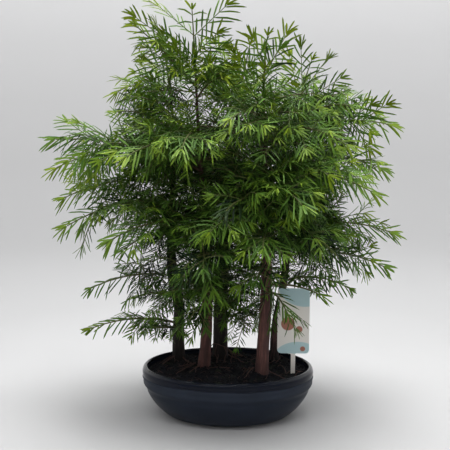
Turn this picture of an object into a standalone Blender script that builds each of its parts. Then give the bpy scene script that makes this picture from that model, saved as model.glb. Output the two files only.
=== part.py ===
"""A dawn redwood forest: five young trees planted together in one oval glazed tray.

The origin is the middle of the tray's flat underside, +X runs along the tray's length to the right,
+Y to the back and +Z up. Sizes in the tables are in millimetres and become metres through MM.

Every tree has a trunk, boughs and a leader, which is its growing top. A bough is one closed body: a
three-sided stem with side shoots, and the needles are raised from the sides of both.
"""
import math
import random

import bmesh
import bpy
import numpy as np
from mathutils import Vector
from mathutils.bvhtree import BVHTree

MM = 0.001
UP = Vector((0, 0, 1))

# Tray
TRAY_LENGTH = 218 * MM
TRAY_WIDTH = 158 * MM
TRAY_HEIGHT = 65 * MM
TRAY_WALL = 5 * MM
TRAY_FLOOR = 7 * MM
TRAY_STEPS = 30
FOOT_RADIUS = 70 * MM
FLAT_RADIUS = 61 * MM
BELLY_HEIGHT = 58 * MM
FLOOR_RADIUS = 62 * MM
WALL_HEIGHTS = (14, 29, 46)
BODY_HEIGHTS = (48, 37, 26, 15, 6)
LIP_INWARD = (6.4, 5.9, 4.4, 2, 0.5, 0)
LIP_DOWN = (5, 0.9, 0, 1.3, 4.2, 8)
DRAIN_RADIUS = 6 * MM
DRAIN_X = 34 * MM

# Soil
SOIL_TOP = 58 * MM
SOIL_MOUND = 3 * MM
SOIL_BUMP = 1.1 * MM
SEAT = 0.35 * MM
CUT_OVER = 20 * MM

# Trunks
TRUNK_SIDES = 8
BURIED = 16 * MM
FLARE = 1.14
FLARE_HEIGHT = 13 * MM
TRUNK_TOP = 2.7 * MM
HOLE_SIDES = 12

# Stems and needles of a bough
BOUGH_RADIUS = (1.7 * MM, 1.0 * MM)
SHOOT_RADIUS = 0.85 * MM
FORK_LENGTH = 3.2 * MM
FORK_SHARES = (0.31, 0.6, 0.88)
LEADER_SHARES = (0.1, 0.38, 0.65, 0.92)
SHOOT_ANGLE = math.radians(52)
SHOOT_SHARE = 0.37
SHOOT_LIMITS = (27 * MM, 58 * MM)
LEADER_SHOOT = 60 * MM
NEEDLE_PITCH = 5.4 * MM
NEEDLE_LENGTH = 17 * MM
NEEDLE_ANGLE = math.radians(60)
NEEDLE_RADIUS = 0.9 * MM
BOUGH_PAIRS = 4
SHOOT_PAIRS = 3
CLEAR = 0.45 * MM
ROOT_SAMPLES = 5
TRUNK_TAG = 1000
LABEL_TAG = 2000

# Plant label: a card and its stake, cut from one sheet of plastic
LABEL_X = 82.6 * MM
LABEL_Y = -17 * MM
CARD_WIDTH = 39.6 * MM
CARD_BOTTOM = 86 * MM
CARD_TOP = 169 * MM
CARD_CORNER = 5 * MM
STAKE_WIDTH = 5.5 * MM
STAKE_BURIED = 24 * MM
LABEL_THICK = 0.9 * MM

# Each tree: bark, half thickness of the trunk above its flare, the points of its trunk above the
# soil, the tip of its leader, and its boughs as (height of the root, tip of the stem, arch)
TREES = {
    "left_back": {
        "bark": "dark_bark", "radius": 8.4,
        "line": [(-67, 36, 58), (-67, 39, 92), (-66, 41, 130), (-73, 43, 158), (-76, 45, 200),
                 (-74, 51, 282), (-73, 56, 366), (-77, 58, 404)],
        "leader": (-85, 62, 470),
        "boughs": [(107, (-180, 22, 103), 10), (103, (-92, -34, 122), -1), (137, (-134, 108, 124), 9),
                   (170, (-184, 54, 150), 9), (223, (-130, -6, 213), 9), (266, (-205, 12, 240), 13),
                   (290, (-222, 78, 268), 13), (306, (-72, 164, 322), 12), (333, (-222, 34, 312), 13),
                   (358, (-138, 14, 384), 9), (390, (-146, 66, 408), 16)],
    },
    "left_front": {
        "bark": "red_bark", "radius": 7.9,
        "line": [(-31, 1, 58), (-28, 3, 92), (-26, 4, 148), (-28, 5, 200), (-31, 5, 275),
                 (-36, 4, 350), (-39, 2, 424)],
        "leader": (-43, 0, 506),
        "boughs": [(139, (-44, -56, 136), 7), (204, (-22, -112, 212), 12), (243, (-134, -66, 237), 13),
                   (255, (9, -103, 255), 12), (312, (-208, -22, 352), 12), (340, (-110, -93, 337), 12),
                   (352, (-46, -108, 347), 12), (400, (-2, -38, 426), 7), (414, (-108, -14, 486), 3)],
    },
    "middle_back": {
        "bark": "dark_bark", "radius": 10.6,
        "line": [(-12, 44, 58), (-12, 48, 110), (-11, 50, 140), (-7, 54, 200), (-3, 57, 268),
                 (3, 60, 330), (11, 64, 392)],
        "leader": (25, 68, 468),
        "boughs": [(135, (14, 0, 140), 8), (128, (-34, 140, 136), 10), (186, (48, 146, 192), 12),
                   (226, (-64, 156, 238), 12), (272, (22, 176, 288), 14), (284, (-4, -34, 296), 12),
                   (330, (-44, 158, 352), 12), (350, (66, 148, 384), 12), (378, (-40, 118, 420), 10)],
    },
    "right_front": {
        "bark": "red_bark", "radius": 8.6,
        "line": [(44, -22, 58), (45, -20, 92), (47, -18, 132), (49, -16, 190), (47, -16, 278),
                 (45, -17, 352), (44, -19, 400)],
        "leader": (48, -21, 474),
        "boughs": [(165, (74, -66, 150), 8), (172, (116, -28, 163), 6), (228, (45, -113, 236), 12),
                   (256, (133, -66, 218), 12), (272, (3, -103, 277), 12), (286, (88, -112, 285), 12),
                   (308, (171, -56, 294), 14), (362, (139, -68, 350), 12), (376, (8, -90, 380), 9)],
    },
    "right_back": {
        "bark": "dark_bark", "radius": 6.3,
        "line": [(59, 39, 58), (61, 44, 106), (68, 48, 144), (74, 52, 188), (78, 58, 269),
                 (85, 63, 360), (88, 65, 384)],
        "leader": (104, 70, 448),
        "boughs": [(163, (157, 62, 152), 10), (196, (198, 30, 188), 12), (229, (210, 72, 226), 12),
                   (252, (98, 156, 266), 12), (314, (190, 34, 314), 12), (336, (126, 152, 362), 12),
                   (350, (203, 60, 367), 12), (366, (149, 12, 392), 10), (374, (188, 102, 382), 10)],
    },
}

COLOURS = {
    "navy_glaze": ((0.018, 0.024, 0.036, 1), 0.25),
    "soil": ((0.022, 0.016, 0.012, 1), 0.95),
    "label_plastic": ((0.80, 0.76, 0.68, 1), 0.45),
    "dark_bark": ((0.035, 0.026, 0.022, 1), 0.85),
    "red_bark": ((0.15, 0.06, 0.04, 1), 0.85),
    "needles": ((0.09, 0.20, 0.02, 1), 0.5),
}


def material(name):
    found = bpy.data.materials.get(name)
    if found:
        return found
    colour, roughness = COLOURS[name]
    made = bpy.data.materials.new(name)
    made.use_nodes = True
    shader = made.node_tree.nodes["Principled BSDF"]
    shader.inputs["Base Color"].default_value = colour
    shader.inputs["Roughness"].default_value = roughness
    made.diffuse_color = colour
    return made


def place(name, data, finish, folder):
    """Put a mesh or a curve in a collection as one named object with its finish."""
    made = bpy.data.objects.new(name, data)
    data.materials.clear()
    data.materials.append(material(finish))
    folder.objects.link(made)
    return made


def solid(maker, name, finish, folder):
    """Turn an object with a curve or modifiers into a plain mesh whose caps are welded."""
    bpy.context.view_layer.update()
    seen = maker.evaluated_get(bpy.context.evaluated_depsgraph_get())
    mesh = bpy.data.meshes.new_from_object(seen)
    mesh.transform(maker.matrix_world)
    shape = bmesh.new()
    shape.from_mesh(mesh)
    bmesh.ops.remove_doubles(shape, verts=shape.verts, dist=0.01 * MM)
    shape.to_mesh(mesh)
    shape.free()
    mesh.name = name
    bpy.data.objects.remove(maker)
    return place(name, mesh, finish, folder)


def smooth(thing, degrees):
    thing.data.shade_smooth()
    thing.data.set_sharp_from_angle(angle=math.radians(degrees))


def turned(name, profile, finish, folder):
    """A profile of (radius, height) points turned round Z, then narrowed to the tray's oval."""
    mesh = bpy.data.meshes.new(name)
    count = len(profile)
    mesh.from_pydata([(r, 0, z) for r, z in profile], [(i, i + 1) for i in range(count - 1)], [])
    made = place(name + "_profile", mesh, finish, folder)
    made.scale = (1, TRAY_WIDTH / TRAY_LENGTH, 1)
    screw = made.modifiers.new("Turn", "SCREW")
    screw.steps = screw.render_steps = TRAY_STEPS
    screw.use_merge_vertices = True
    screw.merge_threshold = 0.0001
    return solid(made, name, finish, folder)


def cut(thing, cutters):
    """Take the cutters away from a solid."""
    for cutter in cutters:
        hole = thing.modifiers.new("Cut " + cutter.name, "BOOLEAN")
        hole.object = cutter
        hole.operation = "DIFFERENCE"
        hole.solver = "EXACT"


def cutter_from(shape, name, folder):
    mesh = bpy.data.meshes.new(name)
    shape.to_mesh(mesh)
    shape.free()
    made = bpy.data.objects.new(name, mesh)
    made.hide_render = True
    made.display_type = "WIRE"
    folder.objects.link(made)
    return made


def round_cutter(name, x, y, low, high, radius, folder):
    shape = bmesh.new()
    bmesh.ops.create_cone(shape, cap_ends=True, segments=HOLE_SIDES, radius1=radius, radius2=radius,
                          depth=high - low)
    bmesh.ops.translate(shape, verts=shape.verts, vec=(x, y, (low + high) / 2))
    return cutter_from(shape, name, folder)


def bowl_radius(height):
    """Outer half length of the bowl at a height above its underside: a deep, even curve."""
    share = min(max(height / BELLY_HEIGHT, 0), 1)
    return FOOT_RADIUS + (TRAY_LENGTH / 2 - FOOT_RADIUS) * (1 - (1 - share) ** 1.9) ** 0.72


def make_tray(folder, cutters):
    rim = TRAY_LENGTH / 2
    inner = [(bowl_radius(z * MM) - TRAY_WALL, z * MM) for z in WALL_HEIGHTS]
    lip = [(rim - inward * MM, TRAY_HEIGHT - down * MM) for inward, down in zip(LIP_INWARD, LIP_DOWN)]
    outer = [(bowl_radius(z * MM), z * MM) for z in BODY_HEIGHTS]
    foot = [(FOOT_RADIUS + 0.6 * MM, 2.4 * MM), (FOOT_RADIUS - 4 * MM, 0.5 * MM), (FLAT_RADIUS, 0), (0, 0)]
    profile = [(0, TRAY_FLOOR), (FLOOR_RADIUS, TRAY_FLOOR)] + inner + lip + outer + foot
    tray = turned("tray", profile, "navy_glaze", folder)
    holes = [round_cutter("drain_%d" % side, side * DRAIN_X, 0, -CUT_OVER, CUT_OVER, DRAIN_RADIUS, cutters)
             for side in (-1, 1)]
    cut(tray, holes)
    smooth(tray, 40)


def soil_rise(x, y):
    """Height of the uneven soil above SOIL_TOP: a low mound with hollows, level at the wall."""
    reach = math.hypot(x / (TRAY_LENGTH / 2), y / (TRAY_WIDTH / 2))
    mound = SOIL_MOUND * (1 - reach ** 2)
    waves = math.sin(x * 95 + 1.3) * math.cos(y * 120 - 0.4) + 0.6 * math.sin(x * 210 + y * 170)
    return mound + SOIL_BUMP * waves * (1 - reach ** 4)


def make_soil(folder, cutters):
    wall = [(bowl_radius(z * MM) - TRAY_WALL - SEAT, z * MM) for z in WALL_HEIGHTS]
    top = TRAY_LENGTH / 2 - LIP_INWARD[0] * MM - 2 * SEAT
    rings = [(top * share, SOIL_TOP) for share in (0.3, 0.6, 0.85)]
    profile = [(0, SOIL_TOP)] + rings + [(top, SOIL_TOP - 1 * MM)] + wall[::-1]
    profile += [(FLOOR_RADIUS - 1 * MM, TRAY_FLOOR + SEAT), (0, TRAY_FLOOR + SEAT)]
    soil = turned("soil", profile, "soil", folder)
    for vertex in soil.data.vertices:
        if vertex.co.z > SOIL_TOP - 2 * MM:
            vertex.co.z += soil_rise(vertex.co.x, vertex.co.y)
    holes = []
    for name, tree in TREES.items():
        x, y, z = (value * MM for value in tree["line"][0])
        radius = tree["radius"] * MM * FLARE / math.cos(math.pi / HOLE_SIDES) + SEAT
        holes.append(round_cutter("hole_" + name, x, y, z - BURIED - SEAT, z + CUT_OVER, radius, cutters))
    slot = bmesh.new()
    bmesh.ops.create_cube(slot, size=1)
    slot_low, slot_high = SOIL_TOP - STAKE_BURIED - SEAT, SOIL_TOP + CUT_OVER
    bmesh.ops.scale(slot, verts=slot.verts,
                    vec=(STAKE_WIDTH + 2 * SEAT, LABEL_THICK + 2 * SEAT, slot_high - slot_low))
    bmesh.ops.translate(slot, verts=slot.verts, vec=(LABEL_X, LABEL_Y, (slot_low + slot_high) / 2))
    holes.append(cutter_from(slot, "slot", cutters))
    cut(soil, holes)


def make_label(folder):
    """A rounded card on a narrow stake, drawn as one flat outline."""
    stake = STAKE_WIDTH / 2
    outline = []
    for side, height, first in ((1, CARD_TOP, 0), (-1, CARD_TOP, 90), (-1, CARD_BOTTOM, 180)):
        outline += card_corner(side, height, first)
    outline += [(-stake, CARD_BOTTOM), (-stake, SOIL_TOP - STAKE_BURIED + 5 * MM),
                (0, SOIL_TOP - STAKE_BURIED), (stake, SOIL_TOP - STAKE_BURIED + 5 * MM),
                (stake, CARD_BOTTOM)]
    outline += card_corner(1, CARD_BOTTOM, 270)
    curve = bpy.data.curves.new("label_outline", "CURVE")
    curve.dimensions = "2D"
    curve.fill_mode = "BOTH"
    curve.extrude = LABEL_THICK / 2
    spline = curve.splines.new("POLY")
    spline.points.add(len(outline) - 1)
    for point, (x, z) in zip(spline.points, outline):
        point.co = (x, z, 0, 1)
    spline.use_cyclic_u = True
    flat = place("label_outline", curve, "label_plastic", folder)
    flat.rotation_euler = (math.radians(90), 0, 0)
    flat.location = (LABEL_X, LABEL_Y, 0)
    solid(flat, "plant_label", "label_plastic", folder)


def card_corner(side, height, first):
    """The points of one rounded corner of the card, a quarter turn from the angle first."""
    centre_x = side * (CARD_WIDTH / 2 - CARD_CORNER)
    centre_z = height + (CARD_CORNER if height == CARD_BOTTOM else -CARD_CORNER)
    turns = [math.radians(first + step * 45) for step in range(3)]
    return [(centre_x + CARD_CORNER * math.cos(a), centre_z + CARD_CORNER * math.sin(a)) for a in turns]


def trunk_radius(tree, height):
    """Half thickness of a trunk at a height: a slow taper, wider where it meets the soil."""
    low, high = tree["line"][0][2] * MM, tree["line"][-1][2] * MM
    share = min(max((height - low) / (high - low), 0), 1)
    flare = (FLARE - 1) * math.exp(-max(height - low - 2 * MM, 0) / FLARE_HEIGHT * 1.6)
    full = tree["radius"] * MM
    return full + (TRUNK_TOP - full) * share + full * flare


def trunk_point(tree, height):
    """The point of a trunk's centre line at a height."""
    line = [Vector(point) * MM for point in tree["line"]]
    for low, high in zip(line, line[1:]):
        if height <= high.z:
            return low.lerp(high, (height - low.z) / (high.z - low.z))
    return line[-1]


def make_trunk(name, tree, folder):
    start = Vector(tree["line"][0]) * MM
    points = [start - UP * BURIED, start + UP * 2 * MM, start + UP * FLARE_HEIGHT]
    points[2] = trunk_point(tree, points[2].z)
    points += [Vector(point) * MM for point in tree["line"][1:]]
    curve = bpy.data.curves.new("trunk_line", "CURVE")
    curve.dimensions = "3D"
    curve.bevel_depth = 1
    curve.bevel_resolution = (TRUNK_SIDES - 4) // 2
    curve.use_fill_caps = True
    spline = curve.splines.new("POLY")
    spline.points.add(len(points) - 1)
    for point, place_at in zip(spline.points, points):
        point.co = (*place_at, 1)
        point.radius = trunk_radius(tree, place_at.z)
    bent = place("trunk_line", curve, tree["bark"], folder)
    trunk = solid(bent, "trunk_" + name, tree["bark"], folder)
    smooth(trunk, 60)
    return trunk


class Rods:
    """All stems and needles placed so far, as round-ended rods that what grows next keeps clear of."""

    def __init__(self, room):
        self.start = np.zeros((room, 3))
        self.end = np.zeros((room, 3))
        self.radius = np.zeros(room)
        self.stem = np.full(room, -1)
        self.count = 0

    def add(self, start, end, radius, stem):
        self.start[self.count] = start
        self.end[self.count] = end
        self.radius[self.count] = radius
        self.stem[self.count] = stem
        self.count += 1

    def clear(self, start, end, radius, own=()):
        """True if a new rod keeps its distance from every rod but those of its own stems."""
        if not self.count:
            return True
        first, last = self.start[:self.count], self.end[:self.count]
        start, end = np.array(start), np.array(end)
        along, others, between = end - start, last - first, start - first
        a = along @ along
        e = np.maximum((others * others).sum(1), 1e-12)
        b, c, f = others @ along, between @ along, (others * between).sum(1)
        spread = a * e - b * b
        s = np.clip(np.where(spread > 1e-15, (b * f - c * e) / np.where(spread > 1e-15, spread, 1), 0), 0, 1)
        t = np.clip((b * s + f) / e, 0, 1)
        s = np.clip((b * t - c) / a, 0, 1)
        apart = between + s[:, None] * along - t[:, None] * others
        distance = np.sqrt((apart * apart).sum(1))
        other = ~np.isin(self.stem[:self.count], own)
        return bool(np.all(distance[other] > (self.radius[:self.count] + radius + CLEAR)[other]))


class Stem:
    """One bough or side shoot: its centre line, its upper side, and what grows from each stretch."""

    def __init__(self, number, line, radii, up, name="", tree="", upright=False):
        self.number = number
        self.line = line
        self.radii = radii
        self.up = up
        self.name = name
        self.tree = tree
        self.upright = upright
        self.length = sum((b - a).length for a, b in zip(line, line[1:]))
        self.marks = []
        self.needles = {}
        self.shoots = {}
        self.tip = None

    def at(self, distance):
        """Point, direction and upper side at a distance along the stem."""
        left = distance
        for a, b in zip(self.line, self.line[1:]):
            span = (b - a).length
            if left <= span or b is self.line[-1]:
                forward = (b - a).normalized()
                side = forward.cross(self.up).normalized()
                return a + forward * left, forward, side.cross(forward)
            left -= span

    def radius_at(self, distance):
        share = distance / self.length
        return self.radii[0] + (self.radii[1] - self.radii[0]) * share

    def ring(self, distance):
        """The three corners of the stem there: two above and one below, as a keel."""
        point, forward, up = self.at(distance)
        side = forward.cross(up)
        radius = self.radius_at(distance)
        turns = [math.radians(a) for a in (150, 30, 270)]
        return [point + (side * math.cos(a) + up * math.sin(a)) * radius for a in turns]


def arched(root, tip, arch, steps=10):
    """A line from root to tip that rises by arch in its middle."""
    middle = (root + tip) / 2 + UP * 2 * arch
    points = []
    for step in range(steps + 1):
        t = step / steps
        points.append(root * (1 - t) ** 2 + middle * 2 * t * (1 - t) + tip * t ** 2)
    return points


def rods_clear(rods, line, radius, own):
    return all(rods.clear(a, b, radius, own) for a, b in zip(line, line[1:]))


def add_rods(rods, line, radius, stem):
    for a, b in zip(line, line[1:]):
        rods.add(a, b, radius, stem)


def plan_trunks(rods):
    """The trunks and the label's card come first: foliage keeps clear of them."""
    for number, tree in enumerate(TREES.values()):
        line = [Vector(point) * MM for point in tree["line"]]
        for a, b in zip(line, line[1:]):
            rods.add(a, b, trunk_radius(tree, a.z), TRUNK_TAG + number)
    strips = 5
    for strip in range(strips):
        x = LABEL_X + (strip / (strips - 1) - 0.5) * (CARD_WIDTH - 8 * MM)
        rods.add((x, LABEL_Y, CARD_BOTTOM), (x, LABEL_Y, CARD_TOP - 3 * MM), 5 * MM, LABEL_TAG)


def plan_axes(rods):
    """The centre stem of every bough and leader; the heights and arches keep them out of each other."""
    stems = []
    for name, tree in TREES.items():
        top = Vector(tree["line"][-1]) * MM
        below = trunk_point(tree, top.z - 20 * MM)
        tip = Vector(tree["leader"]) * MM
        lean = (top - below).normalized()
        middle = top + lean * (tip - top).length / 2
        line = [top * (1 - t) ** 2 + middle * 2 * t * (1 - t) + tip * t ** 2 for t in np.linspace(0, 1, 7)]
        leader = Stem(len(stems), line, BOUGH_RADIUS, Vector((0, -1, 0.2)).normalized(),
                      "leader_" + name, name, upright=True)
        add_rods(rods, line, BOUGH_RADIUS[0], leader.number)
        stems.append(leader)
    for order, (name, tree) in enumerate(TREES.items()):
        trunk = TRUNK_TAG + order
        for place_in_tree, (height, tip, arch) in enumerate(tree["boughs"], 1):
            title = "bough_%s_%d" % (name, place_in_tree)
            line = arched(trunk_point(tree, height * MM), Vector(tip) * MM, arch * MM)
            if not rods_clear(rods, line, BOUGH_RADIUS[0], (trunk,)):
                raise ValueError("another stem is in the way of " + title)
            bough = Stem(len(stems), line, BOUGH_RADIUS, UP, title, name)
            add_rods(rods, line, BOUGH_RADIUS[0], bough.number)
            stems.append(bough)
    return stems


def plan_forks(stem, trunk_reach):
    """Stretches of a bough: bare wood, forks with two side shoots, and needles at the end."""
    end = stem.length
    first_pair = end - BOUGH_PAIRS * NEEDLE_PITCH
    forked = first_pair - FORK_LENGTH - trunk_reach
    for share in LEADER_SHARES if stem.upright else FORK_SHARES:
        middle = trunk_reach + forked * share
        stem.marks.append((middle - FORK_LENGTH / 2, "bare"))
        stem.marks.append((middle + FORK_LENGTH / 2, "fork"))
    stem.marks.append((first_pair, "bare"))
    for pair in range(BOUGH_PAIRS):
        stem.marks.append((first_pair + (pair + 1) * NEEDLE_PITCH, "pair"))


def plan_shoot(rods, stem, mark, side, number, chance):
    """One side shoot that clears what is there: turned a little, or else shorter; None if it can't."""
    middle = stem.marks[mark][0] - FORK_LENGTH / 2
    point, forward, up = stem.at(middle)
    if stem.upright:
        turn = chance.uniform(-0.3, 0.3) + mark * 0.8
        across = forward.cross(up) * math.cos(turn) + up * math.sin(turn)
    else:
        across = forward.cross(up)
    if stem.upright:
        full = LEADER_SHOOT * (1.05 - 0.6 * middle / stem.length)
    else:
        full = SHOOT_SHARE * stem.length * (1.25 - 0.5 * middle / stem.length) + 8 * MM
    full = min(max(full, SHOOT_LIMITS[0]), SHOOT_LIMITS[1]) * chance.uniform(0.9, 1.08)
    turn = SHOOT_ANGLE + math.radians(chance.uniform(-5, 5)) - 0.12 * middle / stem.length
    for size in (1, 0.8, 0.62):
        for rise in (-0.06, 0.1, -0.22, 0.26, -0.38):
            way = forward * math.cos(turn) + across * side * math.sin(turn) + up * rise
            way.normalize()
            start, tip = point, point + way * full * size
            knee = point + way * full * size * 0.5 + up * full * size * 0.05
            line = [start, knee, tip]
            reach = [point + way * 5 * MM, knee, tip + way * 6 * MM]
            if rods_clear(rods, reach, SHOOT_RADIUS + 0.6 * MM, (stem.number,)):
                shoot = Stem(number, line, (SHOOT_RADIUS, SHOOT_RADIUS * 0.85), up)
                lowest_fork = mark == 1
                pairs = min(SHOOT_PAIRS - lowest_fork, int((shoot.length - 9 * MM) / NEEDLE_PITCH))
                first_pair = shoot.length - pairs * NEEDLE_PITCH
                shoot.marks = [(first_pair, "bare")]
                shoot.marks += [(first_pair + (n + 1) * NEEDLE_PITCH, "pair") for n in range(pairs)]
                add_rods(rods, reach, SHOOT_RADIUS, number)
                return shoot
    return None


def plan_needles(rods, stem, chance):
    """Needles of one stem, left out where they would touch another stem or needle."""
    for index, (distance, kind) in enumerate(stem.marks):
        if kind != "pair":
            continue
        middle = distance - NEEDLE_PITCH / 2
        point, forward, up = stem.at(middle)
        share = middle / stem.length
        for side in (-1, 1):
            across = forward.cross(up) * side
            turn = NEEDLE_ANGLE - 0.25 * share + chance.uniform(-0.06, 0.06)
            length = NEEDLE_LENGTH * chance.uniform(0.9, 1.06) * (1.1 - 0.2 * share)
            way = forward * math.cos(turn) + across * math.sin(turn) - up * chance.uniform(0.02, 0.2)
            add_needle(rods, stem, (index, side), point, way.normalized() * length)
    point, forward, up = stem.at(stem.length)
    add_needle(rods, stem, "tip", point, forward * NEEDLE_LENGTH * 0.8)


def add_needle(rods, stem, key, point, reach):
    start, tip = point + reach * 0.24, point + reach
    if rods.clear(start, tip, NEEDLE_RADIUS, (stem.number,)):
        rods.add(start, tip, NEEDLE_RADIUS * 0.8, -1)
        if key == "tip":
            stem.tip = tip
        else:
            stem.needles[key] = tip


def plan_foliage():
    """Where every stem and needle goes, oldest wood first, so that nothing crosses."""
    rods = Rods(12000)
    plan_trunks(rods)
    boughs = plan_axes(rods)
    for stem in boughs:
        tree = TREES[stem.tree]
        reach = 3 * MM if stem.upright else trunk_radius(tree, stem.line[0].z) + 3 * MM
        plan_forks(stem, reach)
    number = len(boughs)
    for nth in range(len(LEADER_SHARES)):
        for stem in boughs:
            mark = 2 * nth + 1
            if stem.marks[mark][1] != "fork":
                continue
            chance = random.Random(stem.number * 10 + nth)
            for side in (-1, 1):
                shoot = plan_shoot(rods, stem, mark, side, number, chance)
                if shoot:
                    stem.shoots[(mark, side)] = shoot
                    number += 1
    for stem in boughs:
        chance = random.Random(5000 + stem.number)
        plan_needles(rods, stem, chance)
        for shoot in stem.shoots.values():
            plan_needles(rods, shoot, chance)
    return boughs


def fit_corners(vertices, corners):
    """Move three vertices to three corners, turned so that they travel least."""
    def travel(shift):
        return sum((vertex.co - corners[(i + shift) % 3]).length for i, vertex in enumerate(vertices))
    best = min(range(3), key=travel)
    for i, vertex in enumerate(vertices):
        vertex.co = corners[(i + best) % 3]


def lengthen(shape, cap, corners):
    """Extrude a three-sided cap to its next ring; gives the new cap and its three side faces."""
    cap = bmesh.ops.extrude_discrete_faces(shape, faces=[cap])["faces"][0]
    fit_corners(list(cap.verts), corners)
    sides = [face for edge in cap.edges for face in edge.link_faces if face is not cap]
    return cap, sides


def side_face(sides, centre, across):
    """The side face that looks most toward across."""
    return max(sides, key=lambda face: (face.calc_center_median() - centre).dot(across))


def grow(shape, cap, stem, first=0):
    """Grow a stem from a three-sided face, ring by ring, with its needles and side shoots."""
    for index, (distance, kind) in list(enumerate(stem.marks))[first:]:
        cap, sides = lengthen(shape, cap, stem.ring(distance))
        if kind == "bare":
            continue
        before = stem.marks[index - 1][0]
        centre, forward, up = stem.at((before + distance) / 2)
        across = forward.cross(up)
        faces = {side: side_face(sides, centre, across * side) for side in (-1, 1)}
        for side, face in faces.items():
            if kind == "pair" and (index, side) in stem.needles:
                point = bmesh.ops.poke(shape, faces=[face])["verts"][0]
                point.co = stem.needles[(index, side)]
            if kind == "fork" and (index, side) in stem.shoots:
                halves = bmesh.ops.triangulate(shape, faces=[face])["faces"]
                shoot = stem.shoots[(index, side)]
                start = max(halves, key=lambda half: half.calc_center_median().dot(forward))
                grow(shape, start, shoot)
    if stem.tip:
        point = bmesh.ops.poke(shape, faces=[cap])["verts"][0]
        point.co = stem.tip


def seated(bark, corners, forward):
    """Slide the three corners of a root along the stem until their face just clears the bark."""
    def surface(point):
        hit = bark.ray_cast(point + forward * 40 * MM, -forward, 60 * MM)[0]
        return (hit - point).dot(forward)
    depths = [surface(corner) for corner in corners]
    proud = 0
    for i in range(ROOT_SAMPLES + 1):
        for j in range(ROOT_SAMPLES + 1 - i):
            shares = (i / ROOT_SAMPLES, j / ROOT_SAMPLES, 1 - (i + j) / ROOT_SAMPLES)
            point = sum((corner * share for corner, share in zip(corners, shares)), Vector())
            flat = sum(depth * share for depth, share in zip(depths, shares))
            proud = max(proud, surface(point) - flat)
    return [corner + forward * (depth + proud + SEAT) for corner, depth in zip(corners, depths)]


def make_spray(stem, bark, folder):
    """One bough as a closed body; its root is cut to lie on the bark of its trunk."""
    shape = bmesh.new()
    bmesh.ops.create_cone(shape, cap_ends=True, segments=3, radius1=1, radius2=1, depth=2)
    top = next(face for face in shape.faces if all(vertex.co.z > 0 for vertex in face.verts))
    heads = list(top.verts)
    feet = [next(edge.other_vert(vertex) for edge in vertex.link_edges
                 if edge.other_vert(vertex).co.z < 0) for vertex in heads]
    forward = stem.at(0)[1]
    roots = seated(bark, stem.ring(0), forward)
    for head, foot, upper, lower in zip(heads, feet, stem.ring(stem.marks[0][0]), roots):
        head.co = upper
        foot.co = lower
    grow(shape, top, stem, first=1)
    mesh = bpy.data.meshes.new(stem.name)
    shape.to_mesh(mesh)
    shape.free()
    return place(stem.name, mesh, "needles", folder)


def main():
    for old in list(bpy.data.objects):
        bpy.data.objects.remove(old)
    forest = bpy.data.collections.new("dawn_redwood_forest")
    cutters = bpy.data.collections.new("cutters")
    for folder in (forest, cutters):
        bpy.context.scene.collection.children.link(folder)
    make_tray(forest, cutters)
    make_soil(forest, cutters)
    make_label(forest)
    bark = {}
    for name, tree in TREES.items():
        trunk = make_trunk(name, tree, forest)
        shape = bmesh.new()
        shape.from_mesh(trunk.data)
        bark[name] = BVHTree.FromBMesh(shape)
        shape.free()
    for stem in plan_foliage():
        make_spray(stem, bark[stem.tree], forest)


main()
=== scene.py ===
"""Visible pieces of a dawn redwood forest in its oval tray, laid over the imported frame.

Run it as a script. It is laid out as an add-on: the sizes and colours are properties, every group of
pieces has its own operator, and main calls the operators in order.
"""

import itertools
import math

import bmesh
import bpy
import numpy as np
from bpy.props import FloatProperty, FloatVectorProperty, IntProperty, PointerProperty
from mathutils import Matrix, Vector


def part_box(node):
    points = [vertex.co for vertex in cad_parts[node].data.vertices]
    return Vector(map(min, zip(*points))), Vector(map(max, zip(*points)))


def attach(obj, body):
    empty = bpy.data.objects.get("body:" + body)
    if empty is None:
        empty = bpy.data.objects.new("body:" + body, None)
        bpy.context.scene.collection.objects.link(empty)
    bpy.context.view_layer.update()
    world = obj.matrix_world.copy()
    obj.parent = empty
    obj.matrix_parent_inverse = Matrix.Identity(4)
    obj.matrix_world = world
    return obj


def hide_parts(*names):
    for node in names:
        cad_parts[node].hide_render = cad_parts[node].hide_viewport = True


bl_info = {
    "name": "Dawn Redwood Forest",
    "version": (1, 0, 0),
    "blender": (4, 5, 0),
    "location": "View3D > Sidebar > Forest",
    "description": "Builds the bark, needles, soil, glazed tray and plant label of a small forest planting",
    "category": "Object",
}

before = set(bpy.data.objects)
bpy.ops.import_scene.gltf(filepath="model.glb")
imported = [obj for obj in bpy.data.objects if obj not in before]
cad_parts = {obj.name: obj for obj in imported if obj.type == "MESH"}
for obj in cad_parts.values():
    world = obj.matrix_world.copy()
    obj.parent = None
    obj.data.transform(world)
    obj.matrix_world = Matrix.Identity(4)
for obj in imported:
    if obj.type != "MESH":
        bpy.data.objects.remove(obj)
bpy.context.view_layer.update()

MM = 0.001
UP = np.array((0.0, 0.0, 1.0))
FRONT = np.array((0.0, -1.0, 0.0))
_, TRAY_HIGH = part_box("tray")
LABEL_LOW, LABEL_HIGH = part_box("plant_label")
BODY = "root"

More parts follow.
